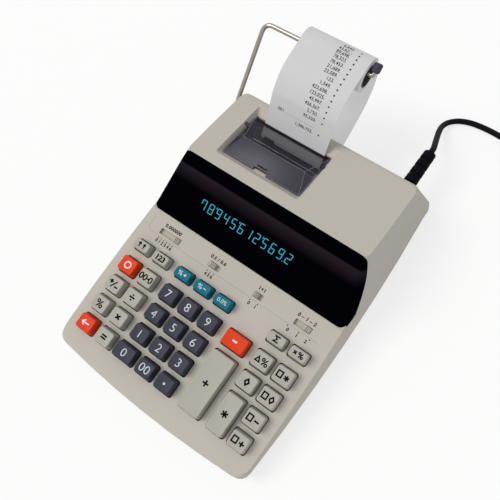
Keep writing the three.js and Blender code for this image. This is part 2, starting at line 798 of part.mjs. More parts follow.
// Lower half: a tray with a locating rim, bosses for the screws and posts for the boards and the printer.
const footX = halfWidth - footInset;
const footPlaces = [[-footX, footFrontY], [footX, footFrontY], [-footX, footRearY], [footX, footRearY]];
const frameX = (printerLeft + printerRight) / 2;
const printerPosts = [
  [printerLeft + boardPostRadius, printerFront + boardPostRadius],
  [printerRight - boardPostRadius, printerFront + boardPostRadius],
  [printerLeft + boardPostRadius, printerBack - boardPostRadius],
  [printerRight - boardPostRadius, printerBack - boardPostRadius],
];
function lowerHousing() {
  const ring = (level, inset) => planOutline(jointLevel, inset).map((p) => p.setZ(level));
  const top = jointLevel - fit;
  const floor = footRise + wall;
  const shell = solid(loft([
    ring(footRise, bellyInset), ring(footRise + bellyRise, lowerInset * 2), ring(top, lowerInset),
  ]));
  const space = solid(loft([
    ring(floor, bellyInset + wall), ring(floor + bellyRise, lowerInset * 2 + wall),
      ring(top + overrun, lowerInset + wall),
  ]));
  const rimInset = wall + fit + rimRise * rearDraft;
  const rim = solid(loft([
    ring(top - 2 * rimRise, wall), ring(top, wall), ring(top, rimInset), ring(jointLevel + rimRise, rimInset),
  ])).subtract(solid(loft([
    ring(top - 2 * rimRise - rimThick, wall), ring(top - 2 * rimRise + rimThick, rimInset + rimThick),
    ring(jointLevel + overrun, rimInset + rimThick),
  ])));
  let body = shell.subtract(space).add(rim);
  const underBoard = under(offsetLine(deckLine, -boardLow - fit), footRise);
  const posts = [-1, 1].flatMap((side) => [-1, 1].map((end) =>
    solid(post(boardPostRadius, footRise + fit, skyLevel,
    homeX + layerX + side * layerWidth / 3, homeY + (layerFront + boardBack) / 2 + end
      * (boardBack - layerFront) / 3,
    postSides)).intersect(underBoard)));
  for (const place of posts) body = body.add(place);
  for (const [x, y] of footPlaces) body = body.add(solid(post(footRadius, 0, footRise + wall / 2, x, y,
    roundSteps * 2 / 3)));
  for (const [x, y] of printerPosts) {
    body = body.add(solid(post(boardPostRadius, footRise + fit, printerFloor - fit, x, y, postSides)));
  }
  for (const end of [-1, 1]) {
    body = body.add(solid(block(mainBoardWidth - overrun, wall, mainBoardHeight - fit - footRise, mainBoardX,
      mainBoardY + end * (mainBoardDepth / 2 - wall), (mainBoardHeight - fit + footRise) / 2)));
  }
  for (const place of bosses) {
    const [x, y] = place;
    const headTop = footRise + screwSink + screwHeadThick + fit;
    body = body.add(solid(post(pedestalRadius, footRise, floor + pedestalRise, x, y, postSides)))
      .add(solid(post(bossRadius, footRise, top, x, y, postSides)))
      .subtract(screwHole(place))
      .subtract(solid(post(screwHeadRadius + fit, footRise - overrun, headTop, x, y, postSides)));
  }
  return surface(body);
}

// Smoked cover: a low hipped lid on two pegs, open below, with a finger notch at its front.
function printerCover() {
  const base = wellDepth - coverBaseGap;
  const left = wellLeft + coverBaseGap;
  const right = wellRight - coverBaseGap;
  const front = wellFront + coverBaseGap;
  const ring = (inset, sides, frontAt, backAt, level, round) => roundedRectangle(
    right - left - 2 * (inset + sides), backAt - frontAt - 2 * inset, round, level, 2, (left + right) / 2,
    (frontAt + backAt) / 2);
  const lid = (inset, low, drop) => solid(loft([
    ring(inset, 0, front, coverTear, low, coverCorner),
    ring(inset, 0, front, coverTear, -base + coverLip - drop, coverCorner),
    ring(0, coverFlank, coverRidge - coverCorner, coverRidge + coverCorner, coverTop - drop, coverCorner / 2),
  ]).applyMatrix4(topFrame));
  const shell = lid(0, -base, 0).subtract(lid(coverWall, -base - overrun, coverWall));
  const pegs = [left - pivotReach + coverBaseGap, right - coverFlank / 2].map((start) => (
    rodAcross(pivotRadius, coverFlank / 2 + pivotReach - coverBaseGap, start
      + (coverFlank / 2 + pivotReach - coverBaseGap) / 2,
      pivotBack, -pivotDrop, roundSteps / 2).applyMatrix4(topFrame)));
  const notch = block(notchWidth, 2 * notchDepth, overrun * 2, notchX, front, -base).applyMatrix4(topFrame);
  return surface(shell.add(solid(pegs[0])).add(solid(pegs[1]))
    .subtract(lid(coverWall, -base - overrun, coverWall))
    .subtract(solid(notch)));
}

// Printer: a frame with two side plates, two guide rods and a motor, the carriage and the feed roller.
const rods = [-1, 1].map((side) => rodY + side * rodSpread / 2);
function printerFrame() {
  const tray = block(printerRight - printerLeft, printerBack - printerFront, plateThick, frameX,
    (printerFront + printerBack) / 2, printerFloor + plateThick / 2);
  const plates = [printerLeft, printerRight - plateThick].map((x) => across([
    [printerFront, printerFloor], [printerBack, printerFloor], [printerBack, plateTop], [motorY, plateFront],
    [printerFront, plateFront],
  ], x, x + plateThick));
  const bridge = block(printerRight - printerLeft, bridgeDepth, bridgeTop - printerFloor, frameX,
    printerFront + bridgeDepth / 2, (bridgeTop + printerFloor) / 2);
  const guides = rods.map((y) => rodAcross(rodRadius, printerRight - printerLeft, frameX, y, rodHeight,
    roundSteps / 2));
  const motor = rodAcross(motorRadius, motorLength, printerRight + motorLength / 2 - plateThick / 2,
    motorY, motorHeight,
    roundSteps * 2 / 3);
  return surface(joined([tray, ...plates, bridge, ...guides, motor])
    .subtract(solid(rodAcross(axleRadius + fit, 2 * wide, 0, rollerY, rollerHeight))));
}
function feedRoller() {
  const reach = printerRight - printerLeft + 2 * axleReach;
  return surface(joined([
    rodAcross(rollerRadius, rollerFace, paperX, rollerY, rollerHeight),
    rodAcross(axleRadius, reach + gearThick, frameX + gearThick / 2, rollerY, rollerHeight, roundSteps / 2),
    rodAcross(gearRadius, gearThick, printerRight + axleReach + gearThick / 2, rollerY, rollerHeight,
      roundSteps),
  ]));
}
function printCarriage() {
  const front = rodY + carriageDepth / 2;
  let body = joined([
    block(carriageWidth, carriageDepth, carriageHeight, carriageX, rodY, rodHeight),
    block(headWidth, headReach - front + fit, headHeight, carriageX, (headReach + front - fit) / 2,
      headRise + headHeight / 2),
    rodAcross(inkRadius, inkWidth, carriageX, rodY - rodSpread / 2, rodHeight + carriageHeight / 2 + inkRise),
  ]);
  for (const y of rods) body = body.subtract(solid(rodAcross(rodRadius + fit, 2 * wide, 0, y, rodHeight,
    roundSteps / 2)));
  return surface(body);
}

// A round bar through points, with a ring at each and no twist.
function bar(points, radius, sides) {
  const directions = points.map((p, k) => points[Math.min(k + 1, points.length - 1)].clone()
    .sub(points[Math.max(k - 1, 0)]).normalize());
  const first = directions[0];
  const aside = new THREE.Vector3(0, 0, 1).cross(first);
  const normal = (aside.lengthSq() < weld ? new THREE.Vector3(1, 0, 0) : aside).normalize();
  const rings = points.map((point, k) => {
    if (k > 0) normal.applyQuaternion(new THREE.Quaternion()
      .setFromUnitVectors(directions[k - 1], directions[k]));
    const other = directions[k].clone().cross(normal);
    const ring = [];
    for (let j = 0; j < sides; j += 1) {
      const angle = (j / sides) * Math.PI * 2;
      ring.push(point.clone().addScaledVector(normal, radius * Math.cos(angle))
        .addScaledVector(other, radius * Math.sin(angle)));
    }
    return ring;
  });
  return loft(rings);
}
function rounded(before, corner, after, bend) {
  const from = corner.clone().add(before.clone().sub(corner).setLength(bend));
  const to = corner.clone().add(after.clone().sub(corner).setLength(bend));
  return new THREE.QuadraticBezierCurve3(from, corner, to).getPoints(bendSteps);
}

const hookAxis = new THREE.Vector3(...wireHookShare).normalize();
const wireEndX = paperX + paperWidth / 2 + wirePastPaper;
const wireCorner = new THREE.Vector3(wireEndX, wireY, wireHeight);
const wireTip = wireCorner.clone().addScaledVector(hookAxis, wireHookLength);
const wirePath = [
  wireFoot.clone().addScaledVector(wireRise, fit),
  ...rounded(wireFoot, wireShoulder, wireCorner, wireBend),
  ...rounded(wireShoulder, wireCorner, wireTip, wireHookBend),
  wireTip,
];
const paperWire = () => bar(wirePath, wireRadius, roundSteps / 2);
function rollRetainer() {
  const half = retainerLength / 2;
  const profile = [
    [0, -half], [retainerRadius - retainerEdge, -half], [retainerRadius, retainerEdge - half],
    [retainerRadius, half - retainerEdge], [retainerRadius - retainerEdge, half], [0, half],
  ].map(([r, y]) => new THREE.Vector2(r, y));
  const turn = new THREE.Quaternion().setFromUnitVectors(new THREE.Vector3(0, 1, 0), hookAxis);
  const centre = wireCorner.clone().addScaledVector(hookAxis, retainerRise + half);
  const knob = new THREE.LatheGeometry(profile, roundSteps * 2 / 3).applyQuaternion(turn)
    .translate(centre.x, centre.y, centre.z);
  const hole = bar([...wirePath.slice(0, -1), wireTip.clone().addScaledVector(hookAxis, fit)], wireRadius
    + fit, postSides);
  return surface(solid(knob).subtract(solid(hole)));
}
const paperRoll = () => surface(joined([
  rodAcross(rollRadius, paperWidth, paperX, rollY, rollHeight),
  rodAcross(coreRadius, paperWidth + 2 * fit, paperX, rollY, rollHeight),
]).subtract(solid(rodAcross(boreRadius, paperWidth + overrun, paperX, rollY, rollHeight))));

// The web: off the back of the roll, in through the rear wall, round the feed roller, up past the tear
// edge and over the top of the roll.
function arc(y, z, radius, from, to, steps) {
  const points = [];
  for (let k = 0; k <= steps; k += 1) {
    const angle = THREE.MathUtils.degToRad(from + (to - from) * (k / steps));
    points.push([y + radius * Math.cos(angle), z + radius * Math.sin(angle)]);
  }
  return points;
}
const smooth = (points, steps) => new THREE.SplineCurve(points.map(([y, z]) => new THREE.Vector2(y, z)))
  .getPoints(steps).map((p) => [p.x, p.y]);
function tangentAngle(point, side) {
  const [dy, dz] = [point[0] - rollerY, point[1] - rollerHeight];
  const open = Math.acos((rollerRadius + webGap + paperThick / 2) / Math.hypot(dy, dz));
  return THREE.MathUtils.radToDeg(Math.atan2(dz, dy) + side * open);
}
function webPath() {
  const supplyRadius = rollRadius + webGap + paperThick / 2;
  const start = [rollY + supplyRadius, rollHeight];
  const onRoller = rollerRadius + webGap + paperThick / 2;
  const below = tangentAngle(webTurnIn, -1);
  const front = tangentAngle([slotExitY, slotExitHeight], 1);
  const overRoll = arc(rollY, rollHeight, webEndRadius, webEndStart, webEndFinish, webSteps * 2);
  return [
    ...smooth([start, ...webSupply, webTurnIn], webSteps * 4),
    ...arc(rollerY, rollerHeight, onRoller, below, front - 360, webSteps * 2),
    ...smooth([[slotExitY, slotExitHeight], ...webClimb, overRoll[0]], webSteps * 2),
    ...overRoll.slice(1),
  ];
}
function paperTape() {
  const path = webPath();
  const outline = [...offsetLine(path, paperThick / 2), ...offsetLine(path, -paperThick / 2).reverse()];
  return across(outline, paperX - paperWidth / 2, paperX + paperWidth / 2);
}

// Strain relief: a flange inside the rear wall, a neck through it and a ribbed, tapering sleeve.
function strainRelief() {
  const innerFace = rearWallAt(reliefHeight + reliefFlange) - 2 * wall;
  const sleeveStart = rearWallAt(reliefHeight - reliefRadius) + fit;
  const profile = [[0, innerFace - reliefFlangeThick], [reliefFlange, innerFace - reliefFlangeThick],
    [reliefFlange, innerFace], [reliefNeck, innerFace], [reliefNeck, sleeveStart]];
  const pitch = (reliefEndY - sleeveStart) / reliefRibs;
  for (let k = 0; k < reliefRibs; k += 1) {
    const radius = THREE.MathUtils.lerp(reliefRadius, reliefTipRadius, k / (reliefRibs - 1));
    const from = sleeveStart + k * pitch + (k > 0 ? pitch * (1 - reliefRibShare) : 0);
    profile.push([radius, from], [radius, sleeveStart + (k + 1) * pitch]);
    if (k + 1 < reliefRibs) {
      profile.push([radius - reliefGroove, sleeveStart + (k + 1) * pitch],
        [radius - reliefGroove, sleeveStart + (k + 2 - reliefRibShare) * pitch]);
    }
  }
  profile.push([0, reliefEndY]);
  const sleeve = new THREE.LatheGeometry(profile.map(([r, y]) => new THREE.Vector2(r, y)), cordSides)
    .translate(reliefX, 0, reliefHeight);
  const bore = alongY(cordRadius + fit, reliefEndY - reliefSink, rearY + reliefEndY, reliefX, reliefHeight);
  return surface(solid(sleeve).subtract(solid(bore)));
}

// Cord: the free run by its route, then a coil of four layers by formula, and the plug on top of it.
const coilDepth = (coilTurns / coilLayers) * coilPitch;
const coilOut = coilMeanRadius + coilDepth / 2;
function coilPoint(turns) {
  const each = coilTurns / coilLayers;
  const layer = Math.min(Math.floor(turns / each), coilLayers - 1);
  const share = turns / each - layer;
  const radius = coilOut - coilDepth * (layer % 2 === 0 ? share : 1 - share);
  const nearest = THREE.MathUtils.clamp(Math.round(turns / each), 1, coilLayers - 1);
  const climb = THREE.MathUtils.clamp((turns - nearest * each) * 2 + 1 / 2, 0, 1);
  const angle = Math.PI * (2 * turns - 1 / 2);
  return new THREE.Vector3(coilX + radius * Math.cos(angle), coilY + radius * Math.sin(angle),
    cordRadius + (nearest - 1 + climb) * coilPitch);
}
const plugHeight = cordRadius * 2 + (coilLayers - 1) * coilPitch + fit + plugThick / 2;
const tailRise = plugHeight - cordRadius - (coilLayers - 1) * coilPitch;
function coilPath() {
  const points = [];
  for (let k = 0; k <= coilTurns * coilSteps; k += 1) points.push(coilPoint(k / coilSteps));
  const lead = points[0].clone().setX(points[0].x - 2 * cordRadius);
  const pivot = points.at(-1).clone().setY(points.at(-1).y + coilTurnIn);
  const quarter = coilSteps / 4;
  const lift = (share) => tailRise * THREE.MathUtils.smoothstep(share, 0, 1);
  for (let k = 1; k < quarter; k += 1) points.at(-1 - quarter + k).z += lift(k / (2 * quarter));
  points.at(-1).z += lift(1 / 2);
  for (let k = 1; k <= quarter; k += 1) {
    const angle = (k / quarter) * Math.PI / 2;
    points.push(new THREE.Vector3(pivot.x + coilTurnIn * Math.sin(angle), pivot.y - coilTurnIn
      * Math.cos(angle),
      pivot.z + lift(1 / 2 + k / (2 * quarter))));
  }
  const end = points.at(-1);
  return [lead, ...points, end.clone().setY(end.y + 2 * cordRadius)];
}
const coil = coilPath();
function leastGap(points) {
  let least = Infinity;
  points.forEach((p, i) => {
    for (let j = i + coilSteps / 2; j < points.length; j += 1) least =
      Math.min(least, p.distanceTo(points[j]));
  });
  return least - 2 * cordRadius;
}
console.log(`Least gap of the coil to itself: ${leastGap(coil).toFixed(2)} mm`);
const cordCoil = () => bar(coil, cordRadius, coilSides);

function cordRun() {
  const start = coil[0];
  const meet = [[start.x - 3 * cordRadius, start.y, start.z], [start.x - fit, start.y, start.z]];
  const route = [[reliefX, reliefEndY - reliefSink + fit, reliefHeight], ...cordRoute, ...meet];
  const path = new THREE.CatmullRomCurve3(route.map((p) => new THREE.Vector3(...p)), false, 'centripetal');
  const circle = [];
  for (let k = 0; k < cordSides; k += 1) {
    const angle = (k / cordSides) * Math.PI * 2;
    circle.push(new THREE.Vector2(cordRadius * Math.cos(angle), cordRadius * Math.sin(angle)));
  }
  return new THREE.ExtrudeGeometry(new THREE.Shape(circle), { steps: cordSteps, extrudePath: path });
}
function mainsPlug() {
  const end = coil.at(-1);
  const start = end.y + fit;
  const ring = (along, width, thick) => roundedRectangle(width, thick, Math.min(width, thick) / 2 - fit, 0, 2)
    .map((p) => new THREE.Vector3(end.x - p.x, start + along, end.z + p.y));
  const body = loft([
    ring(0, 2 * plugNeck / 3 + cordRadius, 2 * plugNeck / 3 + cordRadius),
      ring(plugNeck, plugNeck + cordRadius, plugNeck),
    ring(plugNeck + plugEdge, plugWidth - plugEdge, plugThick),
      ring(plugLength - plugEdge, plugWidth, plugThick),
    ring(plugLength, plugWidth - plugEdge, plugThick - plugEdge),
  ]);
  const pins = [-1, 1].map((side) => alongY(pinRadius, start + plugLength - plugEdge, start + plugLength
    + pinLength,
    end.x + side * pinSpacing / 2, end.z, roundSteps / 2));
  return surface(joined([body, ...pins]));
}

const machine = new THREE.Group();
machine.add(mesh('upper_housing', upperHousing(), cream));
machine.add(mesh('lower_housing', lowerHousing(), cream));
machine.add(mesh('display_visor', displayVisor(), blackGloss));
machine.add(mesh('display_tube', displayTube(), slateGlass));

const deck = new THREE.Group();
deck.position.set(homeX, homeY, homeHeight);
deck.rotation.x = deckSlope;
for (const key of keys) {
  const cap = mesh(key.name, keyCap(key.width, key.depth), key.material);
  cap.position.set(key.x, key.y, 0);
  deck.add(cap);
}
for (const slider of switches) {
  const travel = slider.slot - slider.knob - 2 * fit;
  const knob = mesh(slider.name, slideKnob(slider.slot, slider.knob), bone);
  knob.position.set(slider.x + slider.rest * travel / 2, switchRise, 0);
  deck.add(knob);
}
deck.add(mesh('key_mat', keyMat(), rubber));
machine.add(deck);

machine.add(mesh('circuit_board', circuitBoard(), green));
machine.add(mesh('transformer', transformer(), steel));
machine.add(mesh('printer_cover', printerCover(), smoke));
machine.add(mesh('printer_frame', printerFrame(), darkPlastic));
machine.add(mesh('feed_roller', feedRoller(), rubber));
machine.add(mesh('print_carriage', printCarriage(), darkPlastic));
machine.add(mesh('paper_wire', paperWire(), steel));
machine.add(mesh('roll_retainer', rollRetainer(), charcoal));
machine.add(mesh('paper_roll', paperRoll(), paper));
machine.add(mesh('paper_tape', paperTape(), paper));
machine.add(mesh('strain_relief', strainRelief(), black));
machine.add(mesh('cord_run', cordRun(), black));
machine.add(mesh('cord_coil', cordCoil(), black));
machine.add(mesh('mains_plug', mainsPlug(), black));

export default machine;
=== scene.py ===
import json
import math

import bmesh
import bpy
from mathutils import Matrix, Vector

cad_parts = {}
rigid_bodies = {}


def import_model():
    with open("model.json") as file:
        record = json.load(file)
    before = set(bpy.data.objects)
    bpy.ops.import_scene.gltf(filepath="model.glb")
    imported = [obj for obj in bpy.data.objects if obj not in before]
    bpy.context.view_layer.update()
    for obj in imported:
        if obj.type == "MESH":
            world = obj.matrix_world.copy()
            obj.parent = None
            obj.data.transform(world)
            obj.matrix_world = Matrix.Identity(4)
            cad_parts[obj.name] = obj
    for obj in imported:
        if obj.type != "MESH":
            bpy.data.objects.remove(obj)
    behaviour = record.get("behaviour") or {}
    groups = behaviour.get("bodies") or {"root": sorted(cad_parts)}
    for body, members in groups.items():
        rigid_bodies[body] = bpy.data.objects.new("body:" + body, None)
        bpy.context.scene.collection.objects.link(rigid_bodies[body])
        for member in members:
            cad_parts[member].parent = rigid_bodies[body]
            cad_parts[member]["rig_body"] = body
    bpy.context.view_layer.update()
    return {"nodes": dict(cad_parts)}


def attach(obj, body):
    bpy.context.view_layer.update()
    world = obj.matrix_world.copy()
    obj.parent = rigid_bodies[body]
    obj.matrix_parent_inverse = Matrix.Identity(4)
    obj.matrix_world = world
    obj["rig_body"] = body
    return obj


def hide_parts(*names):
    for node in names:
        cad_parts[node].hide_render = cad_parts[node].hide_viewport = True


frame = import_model()
bpy.context.scene.view_settings.view_transform = "Standard"

# ---- The desk, the lamps and the eye ----
# A plain pale desk under an even white sky, with a broad soft lamp high on the left and a small soft box
# that shows as a cloud in the printer's cover. The eye is above the machine and to its right.
mm = 0.001


def tone(red, green, blue):
    """A colour read off a print, 0 to 255, as a shader takes it."""
    def linear(value):
        share = value / 255
        return share / 12.92 if share <= 0.04045 else ((share + 0.055) / 1.055) ** 2.4
    return (linear(red), linear(green), linear(blue), 1)


def put(name, data):
    piece = bpy.data.objects.new(name, data)
    bpy.context.scene.collection.objects.link(piece)
    return piece


eye_place = Vector((122.44, -120.54, 478.79)) * mm
eye_right = Vector((0.7892, 0.5982, -0.1389))
eye_down = Vector((0.5334, -0.7798, -0.3278))
eye_ahead = Vector((-0.3044, 0.1846, -0.9345))
lens = bpy.data.cameras.new("eye")
lens.sensor_width = 36
lens.lens = 42.07
lens.shift_x, lens.shift_y = 0.0766, 0.0266
eye = put("eye", lens)
turn = Matrix((eye_right, -eye_down, -eye_ahead)).transposed().to_4x4()
eye.matrix_world = Matrix.Translation(eye_place) @ turn
bpy.context.scene.camera = eye


def shining(aim):
    """The turn of a lamp that shines along aim."""
    return aim.to_track_quat("-Z", "Y").to_matrix().to_4x4()


lamp_data = bpy.data.lights.new("window_lamp", "SUN")
lamp_data.energy = 1.66
lamp_data.color = (1, 0.97, 0.93)
lamp_data.angle = math.radians(30)
lamp = put("window_lamp", lamp_data)
lamp.matrix_world = shining(Vector((0.52, 0.3, -0.8)))

box_data = bpy.data.lights.new("soft_box", "AREA")
box_data.shape = "RECTANGLE"
box_data.size, box_data.size_y = 0.14, 0.07
box_data.energy = 0.17
box = put("soft_box", box_data)
box_place = Vector((-0.341, 0.263, 0.911))
box_aim = Vector((-0.032, 0.046, 0.073))
box.matrix_world = Matrix.Translation(box_place) @ shining(box_aim - box_place)
box.visible_camera = False


def feed(node, inputs):
    """Sets the inputs of a shader node to values, or wires them to the outputs of other nodes."""
    for name, value in inputs.items():
        if isinstance(value, bpy.types.NodeSocket):
            node.id_data.links.new(value, node.inputs[name])
        else:
            node.inputs[name].default_value = value


def wired(tree, kind, inputs, output=0, **settings):
    """The output of a new shader node of a kind, fed with its inputs."""
    node = tree.nodes.new("ShaderNode" + kind)
    for name, value in settings.items():
        setattr(node, name, value)
    feed(node, inputs)
    return node.outputs[output]


def seen_directly(tree):
    """1 for what the eye sees, straight or in gloss and glass, and 0 for what only lights the piece."""
    path = tree.nodes.new("ShaderNodeLightPath").outputs
    mirrored = wired(tree, "Math", {0: path["Is Glossy Ray"], 1: path["Is Transmission Ray"]},
                     operation="MAXIMUM")
    return wired(tree, "Math", {0: path["Is Camera Ray"], 1: mirrored}, operation="MAXIMUM")


sky = bpy.data.worlds.new("sky")
bpy.context.scene.world = sky
sky.use_nodes = True
tree = sky.node_tree
lit = tree.nodes["Background"]
feed(lit, {"Color": (0.975, 0.99, 1, 1), "Strength": 0.56})
seen = wired(tree, "Background", {"Color": (1, 1, 1, 1), "Strength": 1})
either = wired(tree, "MixShader", {"Fac": seen_directly(tree), 1: lit.outputs[0], 2: seen})
feed(tree.nodes["World Output"], {"Surface": either})


def blank_finish(name):
    """A new material with its node tree and its main shader."""
    made = bpy.data.materials.new(name)
    made.use_nodes = True
    return made, made.node_tree, made.node_tree.nodes["Principled BSDF"]


desk_reach, desk_glow_share = 6, 0.72
desk_mesh = bpy.data.meshes.new("desk")
desk_mesh.from_pydata([(-desk_reach, -desk_reach, 0), (desk_reach, -desk_reach, 0),
                       (desk_reach, desk_reach, 0), (-desk_reach, desk_reach, 0)], [], [(0, 1, 2, 3)])
desk = put("desk", desk_mesh)
desk_paint, tree, matt = blank_finish("desk_paint")
feed(matt, {"Base Color": (0.93, 0.93, 0.93, 1), "Roughness": 0.9})
glow = wired(tree, "Emission", {})
glow_share = wired(tree, "Math", {0: seen_directly(tree), 1: desk_glow_share}, operation="MULTIPLY")
either = wired(tree, "MixShader", {"Fac": glow_share, 1: matt.outputs[0], 2: glow})
feed(tree.nodes["Material Output"], {"Surface": either})
desk_mesh.materials.append(desk_paint)

# ---- Mains cord, plug, ties and strain relief ----
# A black PVC cord leaves the back through a ribbed sleeve, sinks to the desk and runs to the right. The
# rest of its 1.8 m is wound in four layers for storage, held by two ties, with the moulded plug on top.
cord_radius = 2.5 * mm
relief_place = Vector((70.1, 144.9, 36)) * mm
relief_sink = 5.7 * mm
cord_route = [
    (70.1, 146, 36), (69.5, 152.5, 33.2), (67.6, 160.2, 28.4), (65.2, 169.8, 22), (62.8, 180.5, 15),
    (61.7, 190.5, 8.6), (63.6, 199.2, 4.4), (69.2, 205.6, 2.8), (77.5, 209.4, 2.6), (88.5, 211.2, 2.6),
    (105, 211.2, 2.6), (121.5, 209, 2.6),
]
coil_place = Vector((152, 241)) * mm
coil_mean_radius = 28.3 * mm
coil_pitch = 5.6 * mm
coil_layers, coil_turns, coil_steps = 4, 9, 48
coil_turn_in = 21 * mm
plug_thick, plug_gap = 15 * mm, 0.3 * mm
layer_turns = coil_turns / coil_layers
coil_depth = layer_turns * coil_pitch
coil_out = coil_mean_radius + coil_depth / 2


def coil_point(turns):
    layer = min(int(turns // layer_turns), coil_layers - 1)
    share = turns / layer_turns - layer
    radius = coil_out - coil_depth * (share if layer % 2 == 0 else 1 - share)
    nearest = min(max(math.floor(turns / layer_turns + 0.5), 1), coil_layers - 1)
    climb = min(max((turns - nearest * layer_turns) * 2 + 0.5, 0), 1)
    angle = math.pi * (2 * turns - 0.5)
    return Vector((coil_place.x + radius * math.cos(angle), coil_place.y + radius * math.sin(angle),
                   cord_radius + (nearest - 1 + climb) * coil_pitch))


def flowing(points, steps):
    """A smooth line through points, with the pull of each pair spread by the root of their distance."""

    def between(a, b, i, j):
        return a * ((times[j] - t) / (times[j] - times[i])) + b * ((t - times[i]) / (times[j] - times[i]))

    ends = [2 * points[0] - points[1], *points, 2 * points[-1] - points[-2]]
    line = []
    for before, start, end, after in zip(ends, ends[1:], ends[2:], ends[3:]):
        spans = [math.sqrt((b - a).length) for a, b in ((before, start), (start, end), (end, after))]
        times = [0, spans[0], spans[0] + spans[1], sum(spans)]
        for step in range(steps):
            t = times[1] + spans[1] * step / steps
            low, middle = between(before, start, 0, 1), between(start, end, 1, 2)
            high = between(end, after, 2, 3)
            line.append(between(between(low, middle, 0, 2), between(middle, high, 1, 3), 1, 2))
    return [*line, points[-1]]


coil = [coil_point(k / coil_steps) for k in range(coil_turns * coil_steps + 1)]
wound = [point.copy() for point in coil]
lead = coil[0] - Vector((2 * cord_radius, 0, 0))
plug_height = cord_radius * 2 + (coil_layers - 1) * coil_pitch + plug_gap + plug_thick / 2
tail_rise = plug_height - coil[-1].z
quarter = coil_steps // 4
pivot = coil[-1] + Vector((0, coil_turn_in, 0))


def eased(share):
    return share * share * (3 - 2 * share)


for k in range(1, quarter + 1):
    coil[k - 1 - quarter].z += tail_rise * eased(k / (2 * quarter))
for k in range(1, quarter + 1):
    angle = k / quarter * math.pi / 2
    coil.append(Vector((pivot.x + coil_turn_in * math.sin(angle), pivot.y - coil_turn_in * math.cos(angle),
                        pivot.z + tail_rise * eased(0.5 + k / (2 * quarter)))))
coil.append(coil[-1] + Vector((0, 2 * cord_radius, 0)))
route = [Vector((relief_place.x, relief_place.y - relief_sink, relief_place.z)),
         *(Vector(point) * mm for point in cord_route), lead - Vector((3 * cord_radius, 0, 0)), lead]
cord_line = flowing(route, 8) + coil


def rod(name, line, radius, sides=3):
    """A round bar or cord along a line of points."""
    curve = bpy.data.curves.new(name, "CURVE")
    curve.dimensions = "3D"
    curve.bevel_depth = radius
    curve.bevel_resolution = sides
    curve.use_fill_caps = True
    spline = curve.splines.new("POLY")
    spline.points.add(len(line) - 1)
    for point, place in zip(spline.points, line):
        point.co = (*place, 1)
    return put(name, curve)


def surface_of(name, colour, roughness, mottle=0.05, blotch=25, grain=0.5, depth=0.02, wear=0.06,
               metallic=0, gloss=0.15):
    """A finish whose colour drifts a little over the piece, with a fine grain in its surface and gloss.
    The sizes of its blotches and grain, and the depth of the grain, are in millimetres."""
    made, tree, shader = blank_finish(name)
    place = wired(tree, "TexCoord", {}, "Object")
    pale, deep = ([min(value * share, 1) for value in colour[:3]] + [1] for share in (1 - mottle, 1 + mottle))
    blotches, fine = (
        wired(tree, "TexNoise", {"Scale": 1 / (size * mm), "Detail": detail, "Vector": place}, "Fac")
        for size, detail in ((blotch, 4), (grain, 2)))
    feed(shader, {
        "Metallic": metallic, "Specular IOR Level": gloss,
        "Base Color": wired(tree, "Mix", {"Factor": blotches, "A": pale, "B": deep}, "Result",
                            data_type="RGBA"),
        "Roughness": wired(tree, "MapRange", {"Value": fine, "To Min": max(roughness - wear, 0.02),
                                              "To Max": roughness + wear}, "Result"),
        "Normal": wired(tree, "Bump", {"Height": fine, "Strength": 0.6, "Distance": depth * mm}),
    })
    return made


def dress(piece, finish, body):
    piece.data.materials.clear()
    piece.data.materials.append(finish)
    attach(piece, body)
    return piece


def mesh_of(name, form, outward=False):
    """The mesh of a finished form, with its faces turned outward where they were drawn either way."""
    if outward:
        bmesh.ops.recalc_face_normals(form, faces=form.faces)
    mesh = bpy.data.meshes.new(name)
    form.to_mesh(mesh)
    form.free()
    return mesh


def moulded(node, finish, edge=0.35, segments=2, change=None):
    """The node's own form with its edges broken and its facets joined, to stand for it."""
    source = frame["nodes"][node]
    form = bmesh.new()
    form.from_mesh(source.data)
    bmesh.ops.remove_doubles(form, verts=form.verts, dist=0.002 * mm)
    bmesh.ops.dissolve_limit(form, angle_limit=math.radians(0.5), verts=form.verts, edges=form.edges)
    if change:
        change(form)
    piece = put(node + "_moulded", mesh_of(node + "_moulded", form))
    if "custom_normal" in piece.data.attributes:
        piece.data.attributes.remove(piece.data.attributes["custom_normal"])
    soften(piece, edge, segments)
    dress(piece, finish, source["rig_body"])
    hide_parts(node)
    return piece


def soften(piece, edge, segments=2, angle=32):
    """Breaks the sharp edges of a piece, by millimetres, and shades its faces flat between them."""
    piece.data.shade_smooth()
    if edge:
        bevel = piece.modifiers.new("edges", "BEVEL")
        bevel.width = edge * mm
        bevel.segments = segments
        bevel.limit_method = "ANGLE"
        bevel.angle_limit = math.radians(angle)
    weighted = piece.modifiers.new("shading", "WEIGHTED_NORMAL")
    weighted.keep_sharp = True
    if not edge:
        piece.data.set_sharp_from_angle(angle=math.radians(angle))


cord_rubber = surface_of("cord_rubber", tone(12, 10, 16), 0.5, mottle=0.12, blotch=12, grain=0.3, gloss=0.06)
sleeve_rubber = surface_of("sleeve_rubber", tone(7, 6, 11), 0.6, mottle=0.1, blotch=6, grain=0.25, gloss=0.05)
plug = moulded("mains_plug", sleeve_rubber, edge=0.6, segments=3)


def skin(form, rings, ends=False):
    """Joins each ring of corners to the next by faces all round, and closes the ends if asked."""
    for low, high in zip(rings, rings[1:]):
        steps = max(len(low), len(high))
        for k in range(steps):
            after = (k + 1) % steps
            corners = [low[k % len(low)], low[after % len(low)], high[after % len(high)], high[k % len(high)]]
            form.faces.new(list(dict.fromkeys(corners)))
    if ends:
        form.faces.new(rings[0])
        form.faces.new(rings[-1])


def arc(x, y, radius, start, end, steps):
    """Evenly spaced points on an arc about (x, y) between two angles in degrees."""
    angles = [math.radians(start + (end - start) * k / steps) for k in range(steps + 1)]
    return [Vector((x + radius * math.cos(angle), y + radius * math.sin(angle))) for angle in angles]


